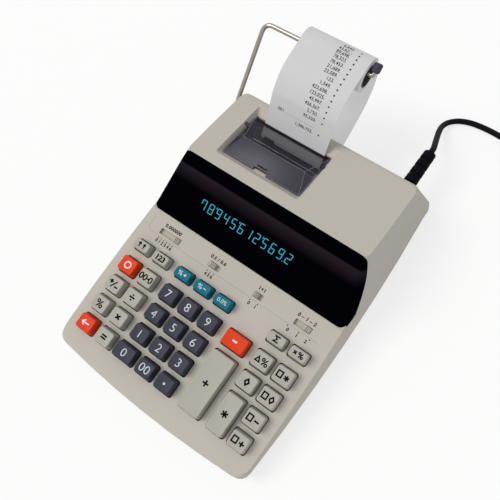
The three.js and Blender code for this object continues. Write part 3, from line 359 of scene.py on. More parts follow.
def tipped(x, y, z=0, angle=0):
    """A place in millimetres, tipped up by an angle about the line that runs across the machine."""
    return Matrix.Translation(Vector((x, y, z)) * mm) @ Matrix.Rotation(angle, 4, "X")


def turned(name, profile, at, steps):
    """A piece turned about the upright axis of at, from (radius, height) points in millimetres."""
    form = bmesh.new()
    skin(form, [[form.verts.new(at @ (Vector((*point, height)) * mm))
                 for point in arc(0, 0, radius, 0, 360, steps)[:steps if radius else 1]]
                for radius, height in profile])
    return put(name, mesh_of(name, form, outward=True))


sleeve_start, sleeve_end, sleeve_blocks, groove_wide, groove_deep = 113.1, 144.9, 4, 1.3, 0.9
base_radius, tip_radius, lip_in, lip_up = 5.7, 5.15, 0.4, 0.5
sleeve_profile = [(0, 100.8), (6.4, 100.8), (6.5, 101), (6.5, 103.1), (4.2, 103.2), (4.2, sleeve_start)]
for k in range(sleeve_blocks):
    pitch = (sleeve_end - sleeve_start) / sleeve_blocks
    low = sleeve_start + k * pitch + (groove_wide / 2 if k else 0)
    high = sleeve_start + (k + 1) * pitch - (groove_wide / 2 if k + 1 < sleeve_blocks else 0)
    wide_low, wide_high = (base_radius + (tip_radius - base_radius) * (y - sleeve_start)
                           / (sleeve_end - sleeve_start) for y in (low, high))
    sleeve_profile += [
        (wide_low - groove_deep, low), (wide_low - lip_in, low), (wide_low, low + lip_up),
        (wide_high, high - lip_up), (wide_high - lip_in, high), (wide_high - groove_deep, high)]
sleeve_profile += [(2.8, sleeve_end), (2.8, sleeve_end - 2), (0, sleeve_end - 2)]
relief = turned("cord_sleeve", sleeve_profile,
                tipped(relief_place.x / mm, 0, relief_place.z / mm, -math.pi / 2), 40)
soften(relief, 0, angle=40)
dress(relief, sleeve_rubber, "case")
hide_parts("strain_relief")
tie_radius, tie_slack, tie_corner, tie_rise, tie_steps = 0.9 * mm, 0.4 * mm, 2.5 * mm, 1.55 * mm, 40
under_tie, square_off = 0.985, 1.5
for side, angle in enumerate((math.radians(65), math.radians(215))):
    outward = Vector((math.cos(angle), math.sin(angle), 0))
    close = [point for point in wound if (point.xy - coil_place).normalized().dot(outward.xy) > under_tie]
    reaches = [(point.xy - coil_place).length for point in close]
    half_wide = (max(reaches) - min(reaches)) / 2 + cord_radius + tie_slack
    half_high = (max(point.z for point in close) + cord_radius + tie_slack) / 2
    middle = Vector((*coil_place, half_high)) + outward * (max(reaches) + min(reaches)) / 2
    loop = []
    for level, upright in arc(0, 0, 1, 0, 360, tie_steps)[:-1]:
        flat = (half_wide - tie_corner) * max(-1, min(1, square_off * level))
        rise = (half_high - tie_corner) * max(-1, min(1, square_off * upright))
        loop.append(middle + outward * (flat + tie_corner * level)
                    + Vector((0, 0, rise + tie_rise * upright)))
    tie = rod(f"cord_tie_{side}", loop, tie_radius)
    tie.data.splines[0].use_cyclic_u = True
    dress(tie, cord_rubber, "case")
cord = dress(rod("mains_cord", cord_line, cord_radius, 4), cord_rubber, "case")
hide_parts("cord_run", "cord_coil")

# ---- Lower half of the case ----
# A shallow tray moulded in the same cream plastic, with four rubber pads pressed on its feet and four
# steel screws sunk in its bosses. Its edge stops short of the upper half and leaves a shadow line.
case_cream = surface_of("case_cream", tone(189, 184, 175), 0.52, mottle=0.02, blotch=60,
                        grain=0.7, depth=0.03)
pad_rubber = surface_of("pad_rubber", tone(52, 51, 54), 0.85, mottle=0.15, blotch=5, grain=0.3)
screw_steel = surface_of("screw_steel", tone(150, 147, 140), 0.35, mottle=0.1, blotch=2,
                         grain=0.2, metallic=1)
joint_high, wide_at, wide_half, rear_wall, rear_turn, tight_turn = 17, -42, 99.3, 118, 17, 8.5
side_draft, rear_draft, tight_draft, bow, bow_reach = 0.26, 0.39, 0.06, 4.7, 130
tray_foot, tray_floor = 0.5 * mm, 1 * mm


def tighten_corners(form):
    """Turns the two rear corners of the case more tightly than the round they are first given."""
    for corner in form.verts:
        x, y, z = corner.co / mm
        rise = max(z - joint_high, 0)
        turn, tight = rear_turn - side_draft * rise, tight_turn - tight_draft * rise
        middle_y = rear_wall - rear_draft * rise - turn
        middle_x = wide_half - bow * ((middle_y - wide_at) / bow_reach) ** 2 - side_draft * rise - turn
        across, along = abs(x) - middle_x, y - middle_y
        if tight >= turn or across <= 0 or along <= 0:
            continue
        reach = math.hypot(across, along)
        way = Vector((across, along)) / reach
        if turn * min(way) <= (turn - tight) * max(way):
            grown = turn / max(way)
        else:
            ahead = (way.x + way.y) * (turn - tight)
            grown = ahead + math.sqrt(ahead * ahead - 2 * (turn - tight) ** 2 + tight * tight)
        spot = way * reach * grown / turn
        corner.co.x = math.copysign(middle_x + spot.x, x) * mm
        corner.co.y = (middle_y + spot.y) * mm


def finish_tray(form):
    """Turns the rear corners and cuts the feet short, to leave room for their pads."""
    tighten_corners(form)
    for corner in form.verts:
        if corner.co.z < tray_foot:
            corner.co.z = tray_floor


moulded("lower_housing", case_cream, edge=0.3, change=finish_tray)

pad_profile = [(0, 0), (5.5, 0), (5.9, 0.3), (6.4, 0.3), (6.8, 0), (7.5, 0), (8, 0.4), (8.2, 2.9), (0, 2.9)]
screw_profile = [(0, 4.9), (0.7, 4.9), (0.7, 4.1), (1.9, 4.05), (2.6, 4.4), (2.8, 5), (2.8, 5.9), (0, 5.9)]
foot_places = [(-80, -134), (80, -134), (-80, 92), (80, 92)]
screw_places = [(-82, -144.5), (82, -144.5), (-70, 80), (70, 80)]
for part, profile, places, finish, slot, steps, sharp in (
        ("foot_pad", pad_profile, foot_places, pad_rubber, "mat_rubber", 40, 40),
        ("case_screw", screw_profile, screw_places, screw_steel, None, 24, 35)):
    for side, (x, y) in enumerate(places):
        piece = turned(f"{part}_{side}", profile, tipped(x, y), steps)
        soften(piece, 0, angle=sharp)
        dress(piece, finish, "case")

# ---- Boards and key mat ----
# The moulded rubber mat with its domes lies under the keys on a green glass-fibre board. A second board
# at the back carries the transformer, a stack of steel sheets round a taped winding.
mat_rubber = surface_of("mat_rubber", tone(120, 122, 120), 0.8, mottle=0.08, blotch=8, grain=0.4)
board_green = surface_of("board_green", tone(50, 110, 72), 0.4, mottle=0.12, blotch=3, grain=0.8)
core_steel = surface_of("core_steel", tone(120, 118, 114), 0.5, mottle=0.12, blotch=4, grain=0.5,
                        metallic=0.8)
moulded("key_mat", mat_rubber, edge=0)
moulded("circuit_board", board_green, edge=0)
moulded("transformer", core_steel, edge=0.3)

# ---- Printer ----
# A dark moulded frame with two steel guide rods. The carriage slides along them with the ink roller on
# its back, and the rubber feed roller turns behind it and drives the paper up.
frame_plastic = surface_of("frame_plastic", tone(26, 25, 31), 0.6, mottle=0.15, blotch=6)
carriage_plastic = surface_of("carriage_plastic", tone(16, 16, 22), 0.45, mottle=0.15, blotch=4)
roller_rubber = surface_of("roller_rubber", tone(60, 60, 66), 0.75, mottle=0.1, blotch=3)
bright_steel = surface_of("bright_steel", tone(190, 188, 182), 0.25, mottle=0.06, blotch=3,
                          grain=0.15, depth=0.005, metallic=1)
moulded("printer_frame", frame_plastic, edge=0.25)
moulded("print_carriage", carriage_plastic, edge=0.3)
moulded("feed_roller", roller_rubber, edge=0.3)


def block(form, low, high):
    """A box between two corners in millimetres."""
    corners = [form.verts.new(Vector((x, y, z)) * mm) for x in (low[0], high[0]) for y in (low[1], high[1])
               for z in (low[2], high[2])]
    for a, b, c, d in ((0, 1, 3, 2), (4, 6, 7, 5), (0, 4, 5, 1), (2, 3, 7, 6), (0, 2, 6, 4), (1, 5, 7, 3)):
        form.faces.new([corners[a], corners[b], corners[c], corners[d]])


guide_form = bmesh.new()
for low, high in (((-54.4, 72.5, 51.8), (7, 73.7, 54)), ((-54.4, 65.4, 52.2), (-44, 72.5, 54)),
                  ((-9, 65.4, 52.2), (7, 72.5, 53.2)), ((-44, 68.5, 52.2), (-9, 70, 53))):
    block(guide_form, low, high)
guide = put("paper_guide", mesh_of("paper_guide", guide_form))
soften(guide, 0.3)
guide_plastic = surface_of("guide_plastic", tone(70, 67, 80), 0.5, mottle=0.3, blotch=6)
dress(guide, guide_plastic, "case")
rod_left, rod_right, rod_radius = -54, 6.8, 0.6 * mm
for side, (y, z) in enumerate(((66.4, 55.4), (70.6, 54.5))):
    rod_line = [Vector((x, y, z)) * mm for x in (rod_left, rod_right)]
    dress(rod(f"guide_rod_{side}", rod_line, rod_radius), bright_steel, "case")

# ---- Upper half of the case ----
# One hollow moulding in fine-grained cream plastic. Its deck carries the key openings and switch slots,
# its top is sunk round the printer, and a thin printed line sets the row of switches off from the keys.
moulded("upper_housing", case_cream, edge=0.4, change=tighten_corners)

deck_x, deck_y, deck_z, deck_tilt = -13.8, -92.5, 30, math.radians(6.5)
deck = tipped(deck_x, deck_y, deck_z, deck_tilt)
ink_lift, ink_thick, widest_mitre = 0.03 * mm, 0.05 * mm, 0.4
print_dark = surface_of("print_dark", tone(8, 7, 10), 0.6, mottle=0.1, blotch=1, grain=0.2, gloss=0.05)
print_faint = surface_of("print_faint", tone(160, 154, 146), 0.55, mottle=0.04, blotch=4)


def film(piece):
    """Gives printed shapes the thickness of their ink, let a little into the surface."""
    layer = piece.modifiers.new("ink", "SOLIDIFY")
    layer.thickness = ink_thick
    layer.offset = -1
    return piece


def laid(point, at, bend):
    """The place of a printed point on the plane that at sets, raised to the dish if the top is bent."""
    return at @ Vector((point.x, point.y, (bend(point.x, point.y) if bend else 0) + ink_lift))


def inked(name, lines, width, at, finish, body="case", bend=None):
    """Printed lines, each through its points in millimetres on the plane that at sets."""
    form = bmesh.new()
    for line in lines:
        points = [Vector(point) for point in line]
        closed = points[0] == points[-1]
        if closed:
            points.pop()
        pairs = []
        for k, point in enumerate(points):
            before = points[k - 1] if k or closed else None
            after = points[(k + 1) % len(points)] if k + 1 < len(points) or closed else None
            come = (point - before).normalized() if before else (after - point).normalized()
            go = (after - point).normalized() if after else come
            aside = Vector((-come.y - go.y, come.x + go.x)).normalized()
            reach = width / 2 / max(aside.dot(Vector((-go.y, go.x))), widest_mitre)
            pairs.append([form.verts.new(laid(point * mm + aside * side * reach * mm, at, bend))
                          for side in (1, -1)])
        for first, second in zip(pairs, pairs[1:] + pairs[:1] if closed else pairs[1:]):
            form.faces.new([first[0], first[1], second[1], second[0]])
    return film(dress(put(name, mesh_of(name, form)), finish, body))


strip_left, strip_right, strip_low, strip_high, strip_round, strip_line = -72.5, 97, 54.2, 68.5, 4, 0.35
capital_share = 0.69
corner_line = arc(strip_left + strip_round, strip_low + strip_round, strip_round, 180, 270, 6)
inked("switch_border", [[(strip_left, strip_high), *corner_line, (strip_right, strip_low)]], strip_line,
      deck, print_faint)


def lettering(name, text, height, x, y, at, finish, body, bend=None, spread=1, middle=True, weight=0):
    """Printed figures and signs. x and y are their middle on the plane that at sets, in millimetres."""
    font = bpy.data.curves.new(name, "FONT")
    font.body = text
    font.size = height / capital_share * mm
    font.space_character = spread
    font.offset = weight * mm
    font.align_x = "CENTER" if middle else "RIGHT"
    shaped = put(name, font)
    bpy.context.view_layer.update()
    mesh = bpy.data.meshes.new_from_object(shaped.evaluated_get(bpy.context.evaluated_depsgraph_get()))
    bpy.data.objects.remove(shaped)
    mesh.name = name
    tall = [corner.co.y for corner in mesh.vertices]
    centre = (min(tall) + max(tall)) / 2 if middle else height / 2 * mm
    for corner in mesh.vertices:
        corner.co = laid(corner.co + Vector((x * mm, y * mm - centre, 0)), at, bend)
    return film(dress(put(name, mesh), finish, body))


switch_marks = {
    "decimal": (-51.7, "0.000000", "0 1 2 3 4 6", 14.6, 6),
    "rounding": (-4.4, "0.5 / 0.6", "4 5 6", 6.4, 3),
    "total": (38.9, "1+1", "0    1", 7.2, 2),
    "power": (81, "0 – 1 – 2", "0      1      2", 20, 3),
}
sign_y, places_y, tick_foot, tick_top, tick_wide = 65.1, 50.2, 52.3, 53.4, 0.8
for switch, (x, above, below, reach, count) in switch_marks.items():
    lettering(f"{switch}_sign", above, 2.8, x, sign_y, deck, print_dark, "case", spread=1.1, weight=0.15)
    lettering(f"{switch}_places", below, 2.6, x, places_y, deck, print_dark, "case", weight=0.14)
    ticks = [x + reach * (k / (count - 1) - 0.5) for k in range(count)]
    inked(f"{switch}_ticks", [[(tick, tick_foot), (tick, tick_top)] for tick in ticks], tick_wide, deck,
          print_dark)

# ---- Slide switches ----
# Four small ridged thumb pieces moulded in much the same cream as the case, each on a plate that slides
# under the deck and closes its slot.
knob_cream = surface_of("knob_cream", tone(184, 181, 166), 0.5, mottle=0.03, blotch=5, grain=0.3)
for switch in ("decimal", "rounding", "total", "power"):
    moulded(f"{switch}_slider", knob_cream, edge=0.12)

# ---- Keys ----
# Thirty-six sprung caps moulded in coloured plastic, with drawn-in walls, a rounded brow and a dished
# top. The figures and signs are printed on the dish: light on the dark caps, dark on the cream ones.
key_rise, key_dish, key_round, key_draft = 8.6, 0.45, 2.2, 1
brow_in, brow_drop, brow_steps, wall_foot = 0.8, 1, 5, -4
top_inset = key_draft + brow_in
key_finishes = {
    colour: surface_of(f"key_{colour}", tone(*print_of), roughness, mottle=mottle, blotch=12, grain=0.4)
    for colour, print_of, roughness, mottle in (
        ("cream", (174, 171, 162), 0.5, 0.02), ("dark", (56, 58, 70), 0.5, 0.05),
        ("orange", (219, 62, 18), 0.48, 0.03), ("teal", (3, 108, 128), 0.48, 0.04))
}
print_light = surface_of("print_light", tone(215, 216, 224), 0.5, mottle=0.03, blotch=1, grain=0.2)


def cap_ring(width, depth, inset, level, share=1):
    """The corners of a cap's outline, drawn in by inset and shrunk to a share of itself."""
    half_x, half_y = width / 2 - inset, depth / 2 - inset
    corner = key_round - inset * 0.35
    turns = ((1, -1, -90), (1, 1, 0), (-1, 1, 90), (-1, -1, 180))
    return [Vector((*(point * share), level)) * mm for sx, sy, start in turns
            for point in arc(sx * (half_x - corner), sy * (half_y - corner), corner, start, start + 90, 6)]


def key_cap(name, colour, x, y, width, depth, legend):
    """One key at a place on the deck, with its legend of (sign, x, y, size, weight) marks."""
    name = "key_" + name
    rings = [cap_ring(width, depth, 0, wall_foot)]
    for step in range(brow_steps + 1):
        angle = math.pi / 2 * step / brow_steps
        rings.append(cap_ring(width, depth, key_draft + brow_in * (1 - math.cos(angle)),
                              key_rise - brow_drop * (1 - math.sin(angle))))
    for share in (0.93, 0.8, 0.62, 0.4, 0.2):
        rings.append(cap_ring(width, depth, top_inset, key_rise - key_dish * (1 - share ** 2), share))
    form = bmesh.new()
    at = deck @ tipped(x, y)
    layers = [[form.verts.new(at @ point) for point in ring] for ring in rings]
    skin(form, layers)
    form.faces.new(layers[-1])
    form.faces.new(layers[0][::-1])
    cap = put(name + "_cap", mesh_of(name + "_cap", form))
    soften(cap, 0, angle=50)
    button = frame["nodes"][name]["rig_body"]
    dress(cap, key_finishes[colour], button)
    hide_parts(name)

    def dish(across, along):
        share = min(max(abs(across) / (width / 2 - top_inset), abs(along) / (depth / 2 - top_inset)) / mm, 1)
        return (key_rise - key_dish * (1 - share ** 2)) * mm

    ink = print_dark if colour == "cream" else print_light
    for k, (sign, dx, dy, size, weight) in enumerate(legend):
        if sign in drawn_signs:
            lines = [[(dx + size * px, dy + size * py) for px, py in line] for line in drawn_signs[sign]]
            inked(f"{name}_sign_{k}", lines, weight, at, ink, button, bend=dish)
        else:
            lettering(f"{name}_sign_{k}", sign, size, dx, dy, at, ink, button, bend=dish, weight=weight)


def oval(x, y, wide, high, steps):
    points = [(x + wide * px, y + high * py) for px, py in arc(0, 0, 1, 0, 360, steps)[:-1]]
    return [*points, points[0]]


drawn_signs = {
    "plus": [[(-1, 0), (1, 0)], [(0, -1), (0, 1)]],
    "minus": [[(-1, 0), (1, 0)]],
    "times": [[(-0.75, -0.75), (0.75, 0.75)], [(-0.75, 0.75), (0.75, -0.75)]],
    "divide": [[(-1, 0), (1, 0)], [(0, 0.6), (0, 1.15)], [(0, -0.6), (0, -1.15)]],
    "equals": [[(-1, 0.45), (1, 0.45)], [(-1, -0.45), (1, -0.45)]],
    "diamond": [[(0, 1), (0.68, 0), (0, -1), (-0.68, 0), (0, 1)]],
    "square": [[(-0.85, -1), (0.85, -1), (0.85, 1), (-0.85, 1), (-0.85, -1)]],
    "star": [[(math.cos(a), math.sin(a)), (-math.cos(a), -math.sin(a))]
             for a in (math.radians(30), math.radians(90), math.radians(150))],
    "circle": [oval(0, 0, 1, 1, 28)],
    "dot": [oval(0, 0, 0.5, 0.5, 16)],
    "up": [[(0, -1), (0, 0.8)], [(-0.62, 0.3), (0, 1), (0.62, 0.3)]],
    "back": [[(-0.8, 0), (1, 0)], [(-0.25, 0.7), (-1, 0), (-0.25, -0.7)]],
    "sum": [[(0.8, 0.7), (0.8, 1), (-0.75, 1), (0.2, 0), (-0.75, -1), (0.8, -1), (0.8, -0.7)]],
    "triangle": [[(0, 1), (0.9, -0.9), (-0.9, -0.9), (0, 1)]],
    "slash": [[(-0.6, -1), (0.6, 1)]],
    "percent": [[(-0.62, -1), (0.62, 1)],
                *(oval(side * 0.62, -side * 0.56, 0.36, 0.4, 12) for side in (-1, 1))],
}
key_pitch, row = 19.9, 19.3
clear, operator, plus, first_memory, second_memory = -63.2, -43.3, 46.3, 71.4, 91
wide, deep, short, plus_wide, zero_wider = 16.6, 14.8, 10.3, 21.8, 3.6
short_row_y, digit_print = 38.9, (6.8, -0.04)


def lone(sign, size, weight):
    return [(sign, 0, 0, size, weight)]


for digits, y in (("789", row), ("456", 0), ("123", -row)):
    for digit, x in zip(digits, (-key_pitch, 0, key_pitch)):
        key_cap(digit, "dark", x, y, wide, deep, lone(digit, *digit_print))
key_cap("0", "dark", -key_pitch - zero_wider / 2, -2 * row, wide + zero_wider, deep, lone("0", *digit_print))
key_cap("00", "dark", 0, -2 * row, wide, deep, lone("00", *digit_print))
key_cap("point", "dark", key_pitch, -2 * row, wide, deep, lone("dot", 1, 0.9))
memory_box = ("square", -3, 0, 2.3, 1.2)
cap_rows = [
    ("clear", "orange", clear, row, lone("circle", 2.7, 1.15)),
    ("sign", "cream", clear, 0,
     [("plus", -3, 1.4, 1.8, 1.35), ("slash", 0.1, 0, 3.1, 1.1), ("minus", 3.3, -1.5, 1.7, 1.35)]),
    ("percent", "cream", clear, -row, lone("percent", 3.1, 1.05)),
    ("clear_entry", "orange", clear, -2 * row, lone("back", 3.4, 1.15)),
    ("zeros", "cream", operator, row,
     [("00", -2.9, 0, 5.3, 0.2), ("minus", 1.6, 0, 0.9, 1.1), ("0", 4.4, 0, 5.3, 0.2)]),
    ("divide", "cream", operator, 0, lone("divide", 2.5, 1.4)),
    ("multiply", "cream", operator, -row, lone("times", 2.5, 1.5)),
    ("equals", "cream", operator, -2 * row, lone("equals", 2.5, 1.45)),
    ("delta_percent", "cream", first_memory, row,
     [("triangle", -3.1, -0.2, 2, 1.1), ("percent", 2.7, 0, 2.7, 1)]),
    ("diamond", "cream", first_memory, 0, lone("diamond", 2.5, 1.4)),
    ("memory_total", "cream", second_memory, row, [memory_box, ("star", 3, -0.2, 2.3, 1.15)]),
    ("memory_subtotal", "cream", second_memory, 0, [memory_box, ("diamond", 3, -0.2, 2.5, 1.25)]),
    ("memory_minus", "cream", second_memory, -row, [memory_box, ("minus", 3, -0.2, 2, 1.45)]),
    ("memory_plus", "cream", second_memory, -2 * row, [memory_box, ("plus", 3, -0.2, 2.2, 1.35)]),
]
for name, colour, x, y, legend in cap_rows:
    key_cap(name, colour, x, y, wide, deep, legend)
short_rows = [
    ("feed", "cream", clear, [("up", -2.2, 0, 2.1, 1.05), ("up", 2.2, 0, 2.1, 1.05)]),
    ("print", "cream", operator, lone("123", 4.3, 0.28)),
    ("tax_plus", "teal", -key_pitch, [("percent", -2, 0, 1.85, 0.5), ("plus", 2.4, 0, 1.3, 0.7)]),
    ("tax_minus", "teal", 0, [("percent", -2, 0, 1.85, 0.5), ("minus", 2.4, 0, 1.3, 0.7)]),
    ("rate", "teal", key_pitch, lone("0.0%", 3.3, 0.03)),
    ("grand_total", "cream", first_memory, lone("sum", 2.2, 1.1)),
    ("mark_up", "cream", second_memory, [("times", -2.8, 0, 1.6, 1.1), ("percent", 2.1, 0, 2.1, 0.9)]),
]
for name, colour, x, legend in short_rows:
    key_cap(name, colour, x, short_row_y, wide, short, legend)
key_cap("minus", "orange", plus, row, plus_wide, deep, lone("minus", 2.1, 1.4))
key_cap("plus", "cream", plus, -row, plus_wide, 2 * row + deep, lone("plus", 2.7, 1.45))
key_cap("total", "cream", first_memory, -1.5 * row, wide, row + deep, lone("star", 2.9, 1.35))

# ---- Display ----
# The lit tube sits behind a wrap-round visor pressed from black acrylic, with a faint painted brownish
# reflection below its crease. Its figures glow through the front: twelve slanted digits of seven bars each,
# with raised ticks that part the thousands.
visor_foot, crease_y, crease_z = -19.8, 15, 73.2
foot_height = deck_z + (visor_foot - deck_y) * math.tan(deck_tilt)
face_slope = math.atan2(crease_z - foot_height, crease_y - visor_foot)
face = tipped(0, visor_foot, foot_height, face_slope)
visor_black = surface_of("visor_black", tone(3, 3, 7), 0.12, mottle=0.1, blotch=20, grain=2,
                         depth=0.002, wear=0.02, gloss=0)


def ramp_of(tree, value, low, high, stops):
    """The colour of a value run through (share, colour) stops that lie between low and high."""
    span = wired(tree, "MapRange", {"Value": value, "From Min": low, "From Max": high}, "Result")
    ramp = tree.nodes.new("ShaderNodeValToRGB")
    points = ramp.color_ramp.elements
    while len(points) < len(stops):
        points.new(0.5)
    for point, (share, colour) in zip(points, stops):
        point.position = share
        point.color = colour
    feed(ramp, {"Fac": span})
    return ramp.outputs["Color"]


tree = visor_black.node_tree
across_face = (0, math.cos(face_slope), math.sin(face_slope))
up_face = wired(tree, "VectorMath", {0: wired(tree, "TexCoord", {}, "Object"), 1: across_face}, "Value",
                operation="DOT_PRODUCT")
crease_at = (crease_y * across_face[1] + crease_z * across_face[2]) * mm
# Painted reflection: a faint brownish band of colour, added to the black below the crease, stands in for
# light caught in the acrylic.
painted_reflection_band = ramp_of(tree, up_face, crease_at - 20 * mm, crease_at + 4 * mm, [
    (0.25, (0, 0, 0, 1)), (0.8, tone(36, 29, 34)), (0.86, (0, 0, 0, 1))])
shader = tree.nodes["Principled BSDF"]
ground = shader.inputs["Base Color"].links[0].from_socket
feed(shader, {"Base Color": wired(tree, "Mix", {"Factor": 1, "A": ground, "B": painted_reflection_band}, "Result",
                                  data_type="RGBA", blend_type="ADD")})
tube_glass = surface_of("tube_glass", tone(29, 58, 64), 0.1, mottle=0.1, blotch=5, depth=0.002)
moulded("display_tube", tube_glass, edge=0.6, segments=3)
visor = moulded("display_visor", visor_black, edge=0.5, segments=3)
visor_end, visor_round, cut_low, cut_high, cut_past = 93.7, 5.5, 26, 52, 6


def carved(data, cutter, way):
    """What is left of a mesh once the cutter is taken from it, or else the part that they share."""
    solid, tool = put("carving", data), put("cutter", cutter)
    cut = solid.modifiers.new("cut", "BOOLEAN")
    cut.operation, cut.object, cut.solver = way, tool, "EXACT"
    bpy.context.view_layer.update()
    mesh = bpy.data.meshes.new_from_object(solid.evaluated_get(bpy.context.evaluated_depsgraph_get()))
    bpy.data.objects.remove(solid)
    bpy.data.objects.remove(tool)
    return mesh


cut_form = bmesh.new()
for side in (1, -1):
    curve = arc(visor_end - visor_round, visor_foot + visor_round, visor_round, 0, -90, 9)
    outline = [(visor_end + cut_past, visor_foot - cut_past), (visor_end + cut_past, curve[0].y), *curve,
               (curve[-1].x, visor_foot - cut_past)]
    skin(cut_form, [[
        cut_form.verts.new(Vector((side * (x - side_draft * (level - foot_height)), y, level)) * mm)
        for x, y in outline] for level in (cut_low, cut_high)], ends=True)
corner_cutter = mesh_of("corner_cutter", cut_form, outward=True)
fill = put("visor_corner_fill", carved(visor.data.copy(), corner_cutter.copy(), "INTERSECT"))
visor.data = carved(visor.data.copy(), corner_cutter.copy(), "DIFFERENCE")
soften(fill, 0)
dress(fill, case_cream, "case")

glow_cyan, tree, lit_bar = blank_finish("glow_cyan")
place = wired(tree, "TexCoord", {}, "Object")
mesh_dots = wired(tree, "TexNoise", {"Scale": 1 / (0.6 * mm), "Vector": place}, "Fac")
feed(lit_bar, {
    "Base Color": (0, 0, 0, 1), "Roughness": 0.3, "Emission Strength": 1,
    "Emission Color": wired(tree, "Mix", {"Factor": mesh_dots, "A": tone(8, 140, 165),
                                          "B": tone(34, 196, 216)}, "Result", data_type="RGBA"),
})

digit_high, digit_wide, digit_pitch, slant, upright_at = 8.8, 3.8, 7.45, 0.1, 25
bar_thick, bar_tip, bar_gap, bar_lift = 0.68, 0.306, 0.12, 0.06
bars = {
    "a": ((0, 2), (1, 2)), "b": ((1, 2), (1, 1)), "c": ((1, 1), (1, 0)), "d": ((0, 0), (1, 0)),
    "e": ((0, 0), (0, 1)), "f": ((0, 1), (0, 2)), "g": ((0, 1), (1, 1)),
}
lit_bars = {"0": "abcdef", "1": "bc", "2": "abged", "3": "abgcd", "4": "fgbc", "5": "afgcd", "6": "afgedc",
            "7": "fabc", "8": "abcdefg", "9": "abcdfg"}


def lit_bar_shape(form, x0, y0, x1, y1):
    """One pointed bar of a digit between two places on the visor's face, in millimetres."""
    start, end = Vector((x0, y0)), Vector((x1, y1))
    ahead = (end - start).normalized()
    aside = Vector((-ahead.y, ahead.x)) * bar_thick / 2
    gap, tip = ahead * bar_gap, ahead * bar_tip
    outline = [start + gap, start + tip + aside, end - tip + aside, end - gap, end - tip - aside,
               start + tip - aside]
    form.faces.new([form.verts.new(face @ (Vector((p.x + slant * (p.y - upright_at), p.y, bar_lift)) * mm))
                    for p in outline])


figure_form = bmesh.new()
figure_start, figure_low = -52.3, 22
text_shown = "78'945'612'569.2"
column = 0
for sign in text_shown:
    left = figure_start + column * digit_pitch
    top = figure_low + digit_high
    if sign == "'":
        lit_bar_shape(figure_form, left - 1.3, top + 0.4, left - 1.3, top - 1.7)
    elif sign == ".":
        lit_bar_shape(figure_form, left - 2.1, figure_low - 0.2, left - 1.1, figure_low - 0.2)
    else:
        for bar in lit_bars[sign]:
            (x0, y0), (x1, y1) = bars[bar]
            lit_bar_shape(figure_form, left + x0 * digit_wide, figure_low + y0 * digit_high / 2,
                          left + x1 * digit_wide, figure_low + y1 * digit_high / 2)
        column += 1
film(dress(put("display_figures", mesh_of("display_figures", figure_form)), glow_cyan, "case"))

# ---- Printer cover ----
# A hipped lid moulded in smoke-tinted acrylic, which tips back on two pegs. Its cut edges and its ridge carry
# beads with a painted highlight. The front panel is dense, and the printer shows dimly through the one
# behind.
cover_place = tipped(0, 23.8, 79.6, math.radians(-12.1))
cover_ridge, lid_front, thick_alpha, thin_alpha = 36 * mm, 18, 0.93, 0.4
cover_smoke = surface_of("cover_smoke", tone(27, 23, 42), 0.2, mottle=0.1, blotch=14, grain=3,
                         depth=0.0005, wear=0.02, gloss=0.5)
tree = cover_smoke.node_tree
on_lid = wired(tree, "Mapping", {"Vector": wired(tree, "TexCoord", {}, "Object"),
                                 "Location": cover_place.translation, "Rotation": cover_place.to_euler()},
               vector_type="TEXTURE")
from_front = wired(tree, "SeparateXYZ", {"Vector": on_lid}, "Y")
feed(tree.nodes["Principled BSDF"], {"Alpha": ramp_of(
    tree, from_front, cover_ridge - 4 * mm, cover_ridge + 6 * mm,
    [(0.42, (*[thick_alpha] * 3, 1)), (0.5, (*[thin_alpha] * 3, 1))])})
moulded("printer_cover", cover_smoke, edge=0.4)
# Painted highlight: the beads along the ridge, hips and cut edges are coloured a light smoke grey, so that
# these edges look as if they catch the light.
painted_edge_highlight = surface_of("painted_edge_highlight", tone(108, 108, 124), 0.25, mottle=0.15, blotch=6, grain=0.6,
                        depth=0.002)
ridge_left, ridge_right = (-52.6, 36, 1.5), (5.2, 36, 1.5)
front_left, front_right = (-59.4, lid_front, -3.4), (12, lid_front, -3.4)
back_left, back_right = (-59.4, 61.2, -3.4), (12, 61.2, -3.4)
notch_left, notch_right = (-31, lid_front, -3.4), (-18, lid_front, -3.4)
beads = [(ridge_left, ridge_right), (front_left, ridge_left, back_left),
         (front_right, ridge_right, back_right), (front_left, notch_left), (notch_right, front_right),
         (front_left, back_left), (front_right, back_right)]
bead_radius = 0.3 * mm
for k, bead in enumerate(beads):
    line = [cover_place @ (Vector(point) * mm) for point in bead]
    dress(rod(f"cover_bead_{k}", line, bead_radius, 1), painted_edge_highlight, "cover")

lid_rise, lid_run, thumb_wide = 4.9, 17, 1
front_face = cover_place @ tipped(0, 17.8, -3.4, math.atan2(lid_rise, lid_run))
inked("cover_thumb_line", [[(-28.6, 4.4), (-20.4, 4.4)]], thumb_wide, front_face, print_dark, "cover")

tear_back, tear_tooth, tear_low, tear_high, tear_foot, tear_top = 61.5, 0.7, -4.4, -2.6, 1.9, 1.4
tear_left, tear_right = -57, 9.4
tear_form = bmesh.new()
tear_rows = []
for k in range(int((tear_right - tear_left) / tear_tooth) + 1):
    x = tear_left + k * tear_tooth
    back = tear_back - (tear_tooth / 2 if k % 2 else 0)
    outline = ((tear_back - tear_foot, tear_low), (back, tear_low), (back, tear_high),
               (tear_back - tear_top, tear_high))
    tear_rows.append([tear_form.verts.new(cover_place @ (Vector((x, *point)) * mm)) for point in outline])
skin(tear_form, tear_rows, ends=True)
dress(put("tear_bar", mesh_of("tear_bar", tear_form, outward=True)), frame_plastic, "cover")

